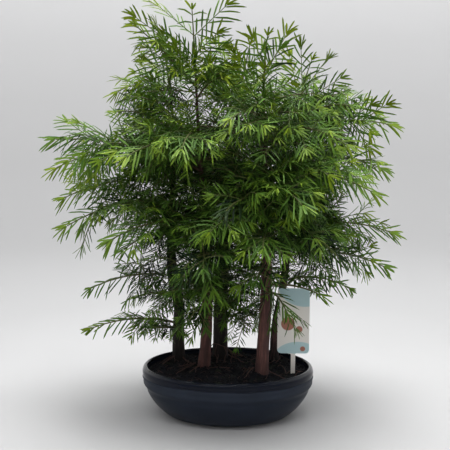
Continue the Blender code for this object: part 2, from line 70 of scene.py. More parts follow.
# The trees as the frame has them, in millimetres: half thickness above the flare, height of the bare
# trunk, points of the trunk, tip of the leader, its side shoots as (share of its height, tip), and the
# boughs as (height of the root, tip of the stem, arch, fullness where not 1)
TREES = {
    "left_back": {
        "bark": "dark_bark", "radius": 8.4, "bare": 115,
        "line": [(-67, 36, 58), (-67, 39, 92), (-66, 41, 130), (-73, 43, 158), (-76, 45, 200),
                 (-74, 51, 282), (-73, 56, 366), (-77, 58, 404)],
        "leader": (-85, 62, 470),
        "crown": [(0.38, (-104, 50, 446)), (0.34, (-62, 66, 447)), (0.08, (-96, 36, 424)),
                  (0.1, (-58, 84, 430))],
        "boughs": [(107, (-180, 22, 103), 10, 0.3), (103, (-92, -34, 122), -1, 0.4),
                   (137, (-134, 108, 124), 9, 0.22), (170, (-184, 54, 150), 9, 0.2),
                   (223, (-130, -6, 213), 9, 0.5), (266, (-205, 12, 240), 13),
                   (290, (-222, 78, 268), 13, 0.7), (306, (-72, 164, 322), 12),
                   (333, (-222, 34, 312), 13, 0.75), (358, (-138, 14, 384), 9),
                   (390, (-146, 66, 408), 16, 0.6)],
    },
    "left_front": {
        "bark": "red_bark", "radius": 7.9, "bare": 128,
        "line": [(-31, 1, 58), (-28, 3, 92), (-26, 4, 148), (-28, 5, 200), (-31, 5, 275),
                 (-36, 4, 350), (-39, 2, 424)],
        "leader": (-43, 0, 506),
        "crown": [(0.62, (-1, -6, 511)), (0.64, (-84, 6, 511)), (0.26, (-108, -14, 496)),
                  (0.32, (-78, 20, 480)), (0.36, (-12, -22, 477)), (0.12, (-6, 30, 462)),
                  (0.1, (-60, -36, 460))],
        "boughs": [(139, (-44, -56, 136), 7, 0.8), (204, (-22, -112, 212), 12), (243, (-134, -66, 237), 13),
                   (255, (9, -103, 255), 12), (312, (-208, -22, 352), 12), (340, (-110, -93, 337), 12),
                   (352, (-46, -108, 347), 12), (400, (-2, -38, 426), 7, 0.6),
                   (414, (-108, -14, 486), 3, 0.6)],
    },
    "middle_back": {
        "bark": "dark_bark", "radius": 10.6, "bare": 104,
        "line": [(-12, 44, 58), (-12, 48, 110), (-11, 50, 140), (-7, 54, 200), (-3, 57, 268),
                 (3, 60, 330), (11, 64, 392)],
        "leader": (25, 68, 468),
        "crown": [(0.45, (6, 60, 457)), (0.2, (-19, 72, 468)), (0.5, (40, 70, 461)), (0.1, (10, 104, 440)),
                  (0.15, (24, 34, 438))],
        "boughs": [(135, (14, 0, 140), 8, 0.7), (128, (-34, 140, 136), 10), (186, (48, 146, 192), 12),
                   (226, (-64, 156, 238), 12), (272, (22, 176, 288), 14), (284, (-4, -34, 296), 12),
                   (330, (-44, 158, 352), 12), (350, (66, 148, 384), 12), (378, (-40, 118, 420), 10)],
    },
    "right_front": {
        "bark": "red_bark", "radius": 8.6, "bare": 204,
        "line": [(44, -22, 58), (45, -20, 92), (47, -18, 132), (49, -16, 190), (47, -16, 278),
                 (45, -17, 352), (44, -19, 400)],
        "leader": (48, -21, 474),
        "crown": [(0.52, (31, -26, 470)), (0.42, (62, -30, 458)), (0.36, (70, -14, 476)),
                  (0.1, (17, -36, 444)), (0.14, (46, -56, 436))],
        "boughs": [(165, (74, -66, 150), 8, 0.6), (172, (116, -28, 163), 6), (228, (45, -113, 236), 12),
                   (256, (133, -66, 218), 12), (272, (3, -103, 277), 12), (286, (88, -112, 285), 12),
                   (308, (171, -56, 294), 14), (362, (139, -68, 350), 12), (376, (8, -90, 380), 9)],
    },
    "right_back": {
        "bark": "dark_bark", "radius": 6.3, "bare": 146,
        "line": [(59, 39, 58), (61, 44, 106), (68, 48, 144), (74, 52, 188), (78, 58, 269),
                 (85, 63, 360), (88, 65, 384)],
        "leader": (104, 70, 448),
        "crown": [(0.4, (90, 62, 464)), (0.2, (76, 76, 452)), (0.36, (122, 60, 448)), (0.12, (140, 66, 425)),
                  (0.1, (98, 104, 424))],
        "boughs": [(163, (157, 62, 152), 10, 0.3), (196, (198, 30, 188), 12), (229, (210, 72, 226), 12),
                   (252, (98, 156, 266), 12), (314, (190, 34, 314), 12), (336, (126, 152, 362), 12),
                   (350, (203, 60, 367), 12), (366, (149, 12, 392), 10), (374, (188, 102, 382), 10, 0.6)],
    },
}
# Shoots with places of their own on some boughs, as (share of the bough, tip)
PLUMES = {
    "bough_left_front_9": [(0.06, (-88, -22, 443)), (0.12, (-77, 4, 469)), (0.2, (-97, -8, 461)),
                           (0.32, (-84, -16, 487))],
    "bough_left_back_11": [(0.5, (-134, 30, 424)), (0.3, (-110, 44, 440))],
    "bough_left_front_8": [(0.5, (-20, -20, 441)), (0.75, (4, -14, 436))],
    "bough_middle_back_1": [(0.4, (-4, -18, 122)), (0.55, (6, -20, 128)), (0.7, (19, 0, 121)),
                            (0.5, (30, 6, 128)), (0.3, (11, -20, 152))],
    "bough_left_front_1": [(0.25, (-42, -40, 111)), (0.5, (-24, -52, 127)), (0.35, (-11, -48, 145)),
                           (0.6, (-62, -44, 120))],
    "bough_left_front_2": [(0.3, (-24, -66, 163)), (0.2, (-2, -50, 160)), (0.25, (-43, -50, 156)),
                           (0.5, (-14, -84, 182))],
    "bough_left_back_1": [(0.06, (-55, -6, 106)), (0.1, (-72, -12, 101)), (0.18, (-92, -4, 100)),
                          (0.3, (-108, 4, 106)), (0.4, (-124, 12, 98))],
    "bough_left_back_3": [(0.3, (-90, 10, 131)), (0.5, (-120, 50, 140))],
    "bough_left_back_4": [(0.3, (-131, 20, 142)), (0.2, (-98, 0, 167)), (0.35, (-140, 60, 176))],
    "bough_right_front_1": [(0.7, (92, -52, 139)), (0.9, (84, -70, 134)), (0.08, (36, -34, 125)),
                            (0.3, (54, -44, 128))],
    "bough_right_back_7": [(0.55, (178, 44, 392)), (0.72, (196, 42, 392)), (0.6, (176, 40, 340))],
    "bough_left_front_5": [(0.6, (-176, -30, 372)), (0.75, (-196, -6, 372)), (0.7, (-190, -34, 328))],
}
# The bough that hangs before the label, as in the photo
BEFORE_LABEL = "bough_right_front_1"

# Trunks: half thickness at the top, how far they go into the soil, by what share they widen at the foot
# and how far up that fades, and from where, over what height and by what share they slim in the crown
TRUNK_TOP = 2.7 * MM
BURIED = 16 * MM
FLARE = 0.14
FLARE_REACH = 8 * MM
SLIM_FROM = 235 * MM
SLIM_REACH = 110 * MM
SLIM_SHARE = 0.45

# Crown: its half width and half depth, how far back its middle lies, and where its upper part begins
CROWN_WIDE = 215 * MM
CROWN_DEEP = 150 * MM
CROWN_MIDDLE = 25 * MM
UPPER_FROM = 300 * MM
UPPER_REACH = 170 * MM
# Boughs that root above these heights have thinner stems, and side shoots that are wider apart
THIN_FROM = 320 * MM
LOOSE_FROM = 340 * MM
# Heights in millimetres between which the trunks bear the most twigs
TWIGGY = (200, 330)

# Tray, in millimetres: the lip as (inward from the widest, down from the top), the step under the glaze as
# (inward from the widest, up from the glaze's edge), and the folds round the belly as (size, height)
LIP = [(6.4, 5), (6.2, 2.4), (5.9, 0.9), (5.2, 0.2), (4.4, 0), (3.2, 0.35), (2, 1.3), (1.1, 2.6),
       (0.5, 4.2), (0.1, 6.2), (0, 8)]
GLAZE_STEP = [(0.3, 1.2), (0.85, 0), (0.5, -0.6), (0.15, -1.6), (0.1, -3)]
FOLDS = [(0.95, 43), (-0.85, 36.5)]
FOOT_RADIUS = 70 * MM
FLAT_RADIUS = 61 * MM
FLOOR_RADIUS = 62 * MM
BELLY_HEIGHT = 58 * MM
DRAIN_X = 34 * MM
DRAIN_RADIUS = 6 * MM

# Soil: the gap to the tray's wall, and the crumbs in a tuft of moss
SOIL_GAP = 0.35 * MM
TUFT_CRUMBS = 16

# Label: height of the card, radius of its corners, half width of its stake, softness of the print's edges
CARD_HEIGHT = 83 * MM
CORNER = 5 * MM
STAKE_HALF = 2.75 * MM
PRINT_EDGE = 0.35 * MM

# Paper sweep in metres: radius of its flat floor, radius of its bend and height of its top edge
SWEEP_FLAT = 1.3
SWEEP_BEND = 1.2
SWEEP_TOP = 3.4
# Its painted light and shade by the place along it, from the middle of the floor (0) to the top (1); the two
# ends come first
PAPER_PAINTED_LIGHT = [(0.0, 1.0), (1.0, 1.4), (0.04, 1.0), (0.063, 0.93), (0.115, 0.83), (0.24, 0.82), (0.36, 0.87),
               (0.42, 0.98), (0.47, 1.14), (0.505, 1.32)]


class TraySettings(bpy.types.PropertyGroup):
    wall: FloatProperty(name="Wall", description="Thickness of the tray's wall", default=5 * MM,
                        unit="LENGTH")
    floor: FloatProperty(name="Floor", description="Thickness of the tray's floor", default=7 * MM,
                         unit="LENGTH")
    steps: IntProperty(name="Steps", description="Points round the oval", default=160, min=24)
    wet_line: FloatProperty(name="Gloss edge", description="Height where the glossy glaze ends",
                            default=53.6 * MM, unit="LENGTH")
    glaze: FloatVectorProperty(name="Glaze", description="Glossy glaze on the rim", subtype="COLOR", size=4,
                               default=(0.001, 0.003, 0.010, 1))
    satin: FloatVectorProperty(name="Satin", description="Satin slip on the body", subtype="COLOR", size=4,
                               default=(0.0146, 0.0198, 0.0310, 1))


class SoilSettings(bpy.types.PropertyGroup):
    top: FloatProperty(name="Level", description="Height of the soil at the wall", default=58 * MM,
                       unit="LENGTH")
    mound: FloatProperty(name="Mound", description="How far the middle stands above the edge", default=3 * MM,
                         unit="LENGTH")
    crumbs: IntProperty(name="Crumbs", description="Loose crumbs on the surface", default=2600, min=0)
    moss: IntProperty(name="Moss tufts", description="Small low tufts of moss", default=34, min=0)
    dark: FloatVectorProperty(name="Wet soil", description="Damp substrate", subtype="COLOR", size=4,
                              default=(0.0026, 0.0032, 0.0050, 1))
    light: FloatVectorProperty(name="Dry crumbs", description="Bark and clay crumbs", subtype="COLOR", size=4,
                               default=(0.015, 0.0115, 0.0105, 1))


class TrunkSettings(bpy.types.PropertyGroup):
    sides: IntProperty(name="Sides", description="Points round a trunk", default=48, min=12)
    ring: FloatProperty(name="Ring", description="Spacing of the rings up a trunk", default=1.9 * MM,
                        unit="LENGTH")
    furrow: FloatProperty(name="Furrow", description="Depth of the furrows in the bark", default=0.75 * MM,
                          unit="LENGTH")
    red: FloatVectorProperty(name="Red bark", description="Young peeling bark", subtype="COLOR", size=4,
                             default=(0.200, 0.082, 0.068, 1))
    red_groove: FloatVectorProperty(name="Red groove", description="Grooves in the red bark", subtype="COLOR",
                                    size=4, default=(0.058, 0.025, 0.022, 1))
    brown: FloatVectorProperty(name="Brown bark", description="Bark of the thin tree at the right",
                               subtype="COLOR", size=4, default=(0.098, 0.044, 0.042, 1))
    dark: FloatVectorProperty(name="Dark bark", description="Old damp bark", subtype="COLOR", size=4,
                              default=(0.050, 0.034, 0.031, 1))
    dark_groove: FloatVectorProperty(name="Dark groove", description="Grooves in the dark bark",
                                     subtype="COLOR", size=4, default=(0.008, 0.006, 0.005, 1))
    root_count: IntProperty(name="Surface roots", description="Fine roots over the soil", default=34, min=0)
    fibre_count: IntProperty(name="Fibres", description="Loose fibres on the soil", default=90, min=0)
    root: FloatVectorProperty(name="Root", description="Fine surface roots", subtype="COLOR", size=4,
                              default=(0.085, 0.042, 0.032, 1))


class NeedleSettings(bpy.types.PropertyGroup):
    length: FloatProperty(name="Needle", description="Length of a full needle at the crown's edge",
                          default=27 * MM, unit="LENGTH")
    width: FloatProperty(name="Width", description="Width of a needle at the crown's edge",
                         default=1.95 * MM, unit="LENGTH")
    thick: FloatProperty(name="Thickness", description="Thickness of a needle", default=0.6 * MM,
                         unit="LENGTH")
    pitch: FloatProperty(name="Pitch", description="Spacing of the needle pairs at the crown's edge",
                         default=7.9 * MM, unit="LENGTH")
    station: FloatProperty(name="Shoot spacing", description="Spacing of the side shoots on a bough",
                           default=14.5 * MM, unit="LENGTH")
    fill: IntProperty(name="Trunk shoots", description="Leafy twigs on the trunk at the root of each bough",
                      default=8, min=0)
    young: FloatVectorProperty(name="Young", description="New growth at the tips", subtype="COLOR", size=4,
                               default=(0.166, 0.246, 0.011, 1))
    grown: FloatVectorProperty(name="Grown", description="Full grown needles", subtype="COLOR", size=4,
                               default=(0.086, 0.187, 0.024, 1))
    old_and_shaded: FloatVectorProperty(name="Old", description="Needles deep in the crown", subtype="COLOR", size=4,
                             default=(0.0038, 0.0125, 0.0050, 1))
    twig: FloatVectorProperty(name="Twig", description="Woody twigs", subtype="COLOR", size=4,
                              default=(0.075, 0.034, 0.018, 1))


class LabelSettings(bpy.types.PropertyGroup):
    sheet: FloatVectorProperty(name="Sheet", description="Plain cream plastic", subtype="COLOR", size=4,
                               default=(0.74, 0.71, 0.66, 1))
    sky: FloatVectorProperty(name="Pale blue", description="Pale blue print", subtype="COLOR", size=4,
                             default=(0.40, 0.56, 0.58, 1))
    clay: FloatVectorProperty(name="Terracotta", description="Terracotta print", subtype="COLOR", size=4,
                              default=(0.33, 0.12, 0.075, 1))


class StageSettings(bpy.types.PropertyGroup):
    paper: FloatVectorProperty(name="Paper", description="Pale seamless paper", subtype="COLOR", size=4,
                               default=(0.515, 0.515, 0.518, 1))
    azimuth: FloatProperty(name="Azimuth", description="Camera's turn round the forest", subtype="ANGLE",
                           default=math.radians(3))
    pitch: FloatProperty(name="Pitch", description="How far the camera looks down", subtype="ANGLE",
                         default=math.radians(9.016))
    view: FloatProperty(name="Field of view", description="Camera's field of view", subtype="ANGLE",
                        default=math.radians(28.23))
    place: FloatVectorProperty(name="Camera", description="Where the camera stands", subtype="TRANSLATION",
                               default=(0.0542, -1.0987, 0.4194))


# Shader nodes, and the groups that more than one finish uses


class Nodes:
    """The nodes of a finish or of a shader group, with short ways to add to them."""

    def __init__(self, tree):
        self.nodes, self.links = tree.nodes, tree.links

    def feed(self, socket, value):
        """Link a socket to an output, or set it to a number or a colour."""
        if isinstance(value, bpy.types.NodeSocket):
            self.links.new(value, socket)
        else:
            socket.default_value = value

    def place(self):
        """Where a point is on its own piece, in metres."""
        return self.nodes.new("ShaderNodeTexCoord").outputs["Object"]

    def attribute(self, name):
        node = self.nodes.new("ShaderNodeAttribute")
        node.attribute_name = name
        return node.outputs["Fac"]

    def calculate(self, operation, *values, clamp=False):
        node = self.nodes.new("ShaderNodeMath")
        node.operation = operation
        node.use_clamp = clamp
        for socket, value in zip(node.inputs, values):
            self.feed(socket, value)
        return node.outputs[0]

    def vector(self, operation, *values):
        node = self.nodes.new("ShaderNodeVectorMath")
        node.operation = operation
        for socket, value in zip(node.inputs, values):
            self.feed(socket, value)
        return node.outputs["Value" if operation == "LENGTH" else "Vector"]

    def noise(self, scale, detail, place=None, distortion=0.0):
        node = self.nodes.new("ShaderNodeTexNoise")
        node.inputs["Detail"].default_value = detail
        node.inputs["Distortion"].default_value = distortion
        self.feed(node.inputs["Scale"], scale)
        self.feed(node.inputs["Vector"], self.place() if place is None else place)
        return node.outputs["Fac"]

    def ramp(self, value, low, high, first=0.0, last=1.0, smooth=False):
        """First up to low and last from high on, with an even or a smooth run between."""
        node = self.nodes.new("ShaderNodeMapRange")
        if smooth:
            node.interpolation_type = "SMOOTHSTEP"
        for name, number in (("From Min", low), ("From Max", high), ("To Min", first), ("To Max", last)):
            node.inputs[name].default_value = number
        self.feed(node.inputs["Value"], value)
        return node.outputs["Result"]

    def blend(self, share, first, second, kind="MIX"):
        """First where share is 0 and second where it is 1."""
        node = self.nodes.new("ShaderNodeMix")
        node.data_type = "RGBA"
        node.blend_type = kind
        for name, value in (("Factor", share), ("A", first), ("B", second)):
            self.feed(node.inputs[name], value)
        return node.outputs["Result"]

    def group(self, group, **values):
        node = self.nodes.new("ShaderNodeGroup")
        node.node_tree = group
        for name, value in values.items():
            node.inputs[name].default_value = value
        return node.outputs


class Finish(Nodes):
    """A material in the making, with its Principled BSDF."""

    def __init__(self, name, roughness):
        self.material = bpy.data.materials.new(name)
        self.material.use_nodes = True
        super().__init__(self.material.node_tree)
        self.shader = self.nodes["Principled BSDF"]
        self.set("Roughness", roughness)

    def set(self, name, value):
        self.feed(self.shader.inputs[name], value)

    def bump(self, height, distance):
        node = self.nodes.new("ShaderNodeBump")
        node.inputs["Distance"].default_value = distance
        self.links.new(height, node.inputs["Height"])
        self.set("Normal", node.outputs["Normal"])


def new_group(name, inputs, outputs):
    """A shader group with its sockets; gives the group, its nodes, its entry and its way out."""
    group = bpy.data.node_groups.new(name, "ShaderNodeTree")
    for socket, kind, value in inputs:
        group.interface.new_socket(name=socket, in_out="INPUT", socket_type=kind).default_value = value
    for socket, kind in outputs:
        group.interface.new_socket(name=socket, in_out="OUTPUT", socket_type=kind)
    entry, leave = group.nodes.new("NodeGroupInput"), group.nodes.new("NodeGroupOutput")
    return group, Nodes(group), entry.outputs, leave.inputs


def mottle_group():
    """Two colours mixed in soft blotches, with fine speckle on top."""
    if "Mottle" in bpy.data.node_groups:
        return bpy.data.node_groups["Mottle"]
    group, inside, entry, leave = new_group(
        "Mottle",
        [("First", "NodeSocketColor", (0.1, 0.1, 0.1, 1)), ("Second", "NodeSocketColor", (0.2, 0.2, 0.2, 1)),
         ("Scale", "NodeSocketFloat", 60.0), ("Speckle", "NodeSocketFloat", 0.2)],
        [("Colour", "NodeSocketColor"), ("Mask", "NodeSocketFloat")])
    blotches = inside.ramp(inside.noise(entry["Scale"], 5), 0.3, 0.7)
    fine = inside.noise(inside.calculate("MULTIPLY", entry["Scale"], 9), 3)
    centred = inside.calculate("SUBTRACT", fine, 0.5)
    share = inside.calculate("MULTIPLY_ADD", centred, entry["Speckle"], blotches, clamp=True)
    inside.feed(leave["Colour"], inside.blend(share, entry["First"], entry["Second"]))
    inside.feed(leave["Mask"], share)
    return group


def fibre_group():
    """Long upright fibres, as in peeling bark and woody twigs."""
    if "Fibre" in bpy.data.node_groups:
        return bpy.data.node_groups["Fibre"]
    group, inside, entry, leave = new_group(
        "Fibre", [("Across", "NodeSocketFloat", 700.0), ("Along", "NodeSocketFloat", 60.0)],
        [("Height", "NodeSocketFloat")])
    stretch = inside.nodes.new("ShaderNodeCombineXYZ")
    for axis, name in (("X", "Across"), ("Y", "Across"), ("Z", "Along")):
        inside.feed(stretch.inputs[axis], entry[name])
    place = inside.vector("MULTIPLY", inside.place(), stretch.outputs["Vector"])
    inside.feed(leave["Height"], inside.noise(1.0, 6, place, 0.4))
    return group


# Finishes


def shade(colour, share):
    """A colour made darker or lighter."""
    return [c * share for c in colour[:3]] + [1]


def needle_finish(settings):
    """Dark old needles, green grown ones and yellow-green young ones, each with a tint of its own; the share
    between them also carries painted light and shade, darker deep in the crown and lighter high up and out at
    its sides.
    """
    finish = Finish("needles", 0.5)
    finish.set("Specular IOR Level", 0.14)
    age_and_light_colours = finish.nodes.new("ShaderNodeValToRGB")
    age_and_light_colours.color_ramp.elements[0].color = settings.old_and_shaded
    age_and_light_colours.color_ramp.elements[1].color = settings.young
    age_and_light_colours.color_ramp.elements.new(0.42).color = settings.grown
    finish.feed(age_and_light_colours.inputs["Fac"], finish.attribute("youth"))
    tint = finish.blend(finish.attribute("tint"), (0.72, 0.78, 0.8, 1), (1.18, 1.1, 0.95, 1))
    finish.set("Base Color", finish.blend(1.0, age_and_light_colours.outputs["Color"], tint, "MULTIPLY"))
    return finish.material


def twig_finish(settings):
    finish = Finish("twigs", 0.7)
    finish.set("Base Color", finish.blend(finish.attribute("youth"), settings.twig, settings.grown))
    finish.bump(finish.group(fibre_group(), Across=900.0, Along=200.0)["Height"], 0.2 * MM)
    return finish.material


def bark_finish(name, colour, groove):
    """Patchy bark with darker fibres, and the colour of the grooves deep in it, which also stands for damp
    and painted shade.
    """
    finish = Finish(name, 0.88)
    patches = finish.group(mottle_group(), First=colour, Second=shade(colour, 0.6), Scale=45.0, Speckle=0.5)
    fibre = finish.group(fibre_group(), Across=620.0, Along=45.0)["Height"]
    strands = finish.ramp(fibre, 0.36, 0.62, smooth=True)
    # Grooves, damp and painted shade darken the bark
    depth = finish.ramp(finish.attribute("groove"), 0.15, 0.8, smooth=True)
    fibred = finish.blend(strands, shade(colour, 0.45), patches["Colour"])
    finish.set("Base Color", finish.blend(depth, fibred, groove))
    finish.bump(fibre, 0.9 * MM)
    return finish.material


def root_finish(settings):
    """Thin brown roots, darker where they are damp."""
    finish = Finish("roots", 0.8)
    damp = shade(settings.root, 0.3)
    finish.set("Base Color", finish.blend(finish.attribute("groove"), settings.root, damp))
    finish.bump(finish.group(fibre_group(), Across=900.0, Along=300.0)["Height"], 0.2 * MM)
    return finish.material


def glaze_finish(settings):
    """Glossy dark glaze over the rim and inside, with a painted sheen towards the ends of the lip; below its
    edge the body has a satin slip.
    """
    finish = Finish("navy_glaze", 0.3)
    wet, coat_and_painted_sheen = finish.attribute("wet"), finish.attribute("coat_and_painted_sheen")
    slip = finish.group(mottle_group(), First=settings.satin, Second=shade(settings.satin, 1.35), Scale=28.0,
                        Speckle=0.5)
    # Painted sheen: the glaze's colour is lighter towards the ends of the lip
    glossy = finish.blend(coat_and_painted_sheen, settings.glaze, (0.014, 0.016, 0.020, 1))
    finish.set("Base Color", finish.blend(wet, slip["Colour"], glossy))
    finish.set("Roughness", finish.ramp(wet, 0.0, 1.0, 0.46, 0.05))
    finish.set("Specular IOR Level", 0.16)
    finish.set("Coat Weight", coat_and_painted_sheen)
    finish.set("Coat Roughness", 0.14)
    dry = finish.calculate("MULTIPLY_ADD", wet, -1, 1)
    finish.bump(finish.calculate("MULTIPLY", finish.noise(900, 4), dry), 0.12 * MM)
    return finish.material


def soil_finish(settings):
    finish = Finish("soil", 0.92)
    finish.set("Specular IOR Level", 0.2)
    ground = finish.group(mottle_group(), First=settings.dark, Second=shade(settings.dark, 2.2), Scale=160.0,
                          Speckle=0.8)
    finish.set("Base Color", finish.blend(finish.attribute("dry"), ground["Colour"], settings.light))
    finish.bump(ground["Mask"], 0.6 * MM)
    return finish.material


def moss_finish():
    finish = Finish("moss", 0.95)
    fuzz = finish.group(mottle_group(), First=(0.005, 0.008, 0.003, 1), Second=(0.014, 0.021, 0.007, 1),
                        Scale=600.0, Speckle=1.0)
    finish.set("Base Color", fuzz["Colour"])
    finish.bump(fuzz["Mask"], 0.5 * MM)
    return finish.material


def oval_mask(finish, place, centre, reach):
    """1 inside an upright oval with half sizes reach, 0 outside, on the label's own plane."""
    shift = finish.vector("SUBTRACT", place, (centre[0], 0, centre[1]))
    shrunk = finish.vector("MULTIPLY", shift, (1 / reach[0], 0, 1 / reach[1]))
    soft = PRINT_EDGE / min(reach)
    return finish.ramp(finish.vector("LENGTH", shrunk), 1 + soft, 1 - soft)


def label_finish(settings):
    """Cream sheet with a plain print of pale blue hills and terracotta discs."""
    finish = Finish("label_plastic", 0.38)
    place = finish.place()
    left, right, top = LABEL_LOW[0], LABEL_HIGH[0], LABEL_HIGH[2]
    middle, bottom = (left + right) / 2, top - CARD_HEIGHT
    colour = settings.sheet
    shapes = [((right - 6 * MM, top + 4 * MM), (33 * MM, 27 * MM), settings.sky),
              ((middle + 6 * MM, bottom - 6 * MM), (30 * MM, 21 * MM), settings.sky),
              ((left + 13 * MM, bottom + 38 * MM), (8.5 * MM, 8.5 * MM), settings.clay),
              ((left + 27 * MM, bottom + 31 * MM), (4.2 * MM, 4.2 * MM), settings.clay),
              ((right - 8 * MM, bottom + 6 * MM), (3.2 * MM, 3.2 * MM), settings.clay)]
    for centre, reach, ink in shapes:
        colour = finish.blend(oval_mask(finish, place, centre, reach), colour, ink)
    parts = finish.nodes.new("ShaderNodeSeparateXYZ")
    finish.feed(parts.inputs["Vector"], place)
    on_card = finish.calculate("GREATER_THAN", parts.outputs["Z"], bottom - 0.2 * MM)
    finish.set("Base Color", finish.blend(on_card, settings.sheet, colour))
    return finish.material


def paper_finish(settings):
    """Pale paper with painted light and shade that follows the light on a real sweep: darker over the outer
    floor and the bend, lighter up the wall.
    """
    finish = Finish("paper", 0.95)
    finish.set("Specular IOR Level", 0.1)
    painted_light = finish.nodes.new("ShaderNodeValToRGB")
    stops = painted_light.color_ramp.elements
    for nth, (place, light_share) in enumerate(PAPER_PAINTED_LIGHT):
        stop = stops[nth] if nth < 2 else stops.new(place)
        stop.position = place
        stop.color = shade(settings.paper, light_share)
    finish.feed(painted_light.inputs["Fac"], finish.attribute("far"))
    finish.set("Base Color", painted_light.outputs["Color"])
    return finish.material


# Mesh helpers


def show(name, data):
    """An object in the scene for a mesh, a light or a camera."""
    shown = bpy.data.objects.new(name, data)
    bpy.context.scene.collection.objects.link(shown)
    return shown


def point_values(mesh, name, values):
    """A number for each point of a mesh, which its finish reads by name."""
    layer = mesh.attributes.new(name, "FLOAT", "POINT")
    layer.data.foreach_set("value", np.asarray(values, dtype=np.float32))


def mesh_piece(name, vertices, faces, materials, values, sharp=None, face_slots=None):
    """One visible piece from arrays of points and faces; it rides on the body."""
    mesh = bpy.data.meshes.new(name)
    mesh.from_pydata(vertices, [], faces)
    for material in materials:
        mesh.materials.append(material)
    if face_slots is not None:
        mesh.polygons.foreach_set("material_index", np.asarray(face_slots, dtype=np.int32))
    for key, numbers in values.items():
        point_values(mesh, key, numbers)
    mesh.shade_smooth()
    if sharp:
        mesh.set_sharp_from_angle(angle=math.radians(sharp))
    mesh.update()
    piece = show(name, mesh)
    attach(piece, BODY)
    return piece


def share_between(value, start, reach):
    """0 before start, 1 from start + reach on, and even between; reach may be negative."""
    return min(max((value - start) / reach, 0), 1)


def smooth_line(points, step):
    """Points about step apart on a smooth curve through the given ones."""
    points = np.asarray(points, dtype=float)
    ends = np.vstack([2 * points[0] - points[1], points, 2 * points[-1] - points[-2]])
    made = []
    for a, b, c, d in zip(ends, ends[1:], ends[2:], ends[3:]):
        count = max(int(math.ceil(np.linalg.norm(c - b) / step)), 1)
        for t in np.arange(count) / count:
            made.append(0.5 * (2 * b + (c - a) * t + (2 * a - 5 * b + 4 * c - d) * t ** 2
                               + (3 * b - a - 3 * c + d) * t ** 3))
    made.append(points[-1])
    return np.array(made)


def unit(vectors):
    return vectors / np.maximum(np.linalg.norm(vectors, axis=-1, keepdims=True), 1e-12)


def frames_along(line, up):
    """Forward, side and upper directions at each point of a line."""
    forward = unit(np.gradient(line, axis=0))
    side = unit(np.cross(forward, up))
    return forward, side, np.cross(side, forward)


def run_lengths(line):
    return np.concatenate([[0], np.cumsum(np.linalg.norm(np.diff(line, axis=0), axis=1))])


def at_runs(line, runs, wanted):
    """Points of a line at distances along it."""
    return np.stack([np.interp(wanted, runs, line[:, k]) for k in range(3)], axis=-1)


def turns_of(sides):
    return np.arange(sides) * 2 * math.pi / sides


def ring_faces(count, sides):
    """Triangles over rings of points, closed at both ends to the two points that follow the rings."""
    around = np.arange(sides)
    after = (around + 1) % sides
    rows = np.arange(count - 1)[:, None] * sides
    low, low_next = rows + around, rows + after
    high, high_next = low + sides, low_next + sides
    walls = np.concatenate([np.stack([low, low_next, high_next], -1).reshape(-1, 3),
                            np.stack([low, high_next, high], -1).reshape(-1, 3)])
    base, last = count * sides, (count - 1) * sides
    start = np.stack([np.full(sides, base), after, around], -1)
    end = np.stack([np.full(sides, base + 1), around + last, after + last], -1)
    return np.concatenate([walls, start, end])


def tube(line, radii, up, sides):
    """A closed round tube along a line, as points and triangles."""
    _, side, above = frames_along(line, up)
    turns = turns_of(sides)
    ring = side[:, None] * np.cos(turns)[None, :, None] + above[:, None] * np.sin(turns)[None, :, None]
    body = (line[:, None] + ring * np.asarray(radii)[:, None, None]).reshape(-1, 3)
    return np.vstack([body, line[0], line[-1]]), ring_faces(len(line), sides)


class Mass:
    """Gathers the points and triangles of many small shapes into one mesh."""

    def __init__(self):
        self.vertices, self.faces, self.slots = [], [], []
        self.values = {}
        self.count = 0

    def add(self, vertices, faces, slot=0, **values):
        self.vertices.append(vertices)
        self.faces.append(faces + self.count)
        self.slots.append(np.full(len(faces), slot))
        for key, value in values.items():
            self.values.setdefault(key, []).append(np.broadcast_to(value, len(vertices)))
        self.count += len(vertices)

    def piece(self, name, materials, slot, sharp=None):
        values = {key: np.concatenate(value) for key, value in self.values.items()}
        return mesh_piece(name, np.vstack(self.vertices), np.vstack(self.faces), materials, values,
                          sharp, np.concatenate(self.slots))


# Trunks


def trunk_radius(tree, heights):
    """Half thickness of a trunk at heights above the tray's underside."""
    low, high = tree["line"][0][2] * MM, tree["line"][-1][2] * MM
    share = np.clip((heights - low) / (high - low), 0, 1)
    flare = FLARE * np.exp(-np.maximum(heights - low - 2 * MM, 0) / FLARE_REACH)
    full = tree["radius"] * MM
    slim = 1 - SLIM_SHARE * np.clip((heights - SLIM_FROM) / SLIM_REACH, 0, 1)
    return (full + (TRUNK_TOP - full) * share + full * flare) * slim


def trunk_centre(tree, heights):
    line = np.array(tree["line"]) * MM
    return np.stack([np.interp(heights, line[:, 2], line[:, k]) for k in range(2)], axis=-1)


def trunk_point(tree, height):
    """The middle of a trunk at one height."""
    return np.array((*trunk_centre(tree, height), height))


def inside_trunks(points, margin=0.0):
    """True for the points that lie in any trunk."""
    hit = np.zeros(len(points), dtype=bool)
    for tree in TREES.values():
        top = tree["line"][-1][2] * MM
        away = np.linalg.norm(points[:, :2] - trunk_centre(tree, points[:, 2]), axis=1)
        hit |= (away < trunk_radius(tree, points[:, 2]) + margin) & (points[:, 2] < top)
    return hit


def value_noise(points, scale, seed):
    """Smooth noise at an array of points, from sums of seeded waves."""
    rng = np.random.default_rng(seed)
    total = np.zeros(len(points))
    for octave in range(4):
        waves = rng.normal(size=(5, 3)) * scale * 1.9 ** octave
        phases = rng.uniform(0, 2 * math.pi, 5)
        total += np.sin(points @ waves.T + phases).sum(1) / 5 * 0.6 ** octave
    return total


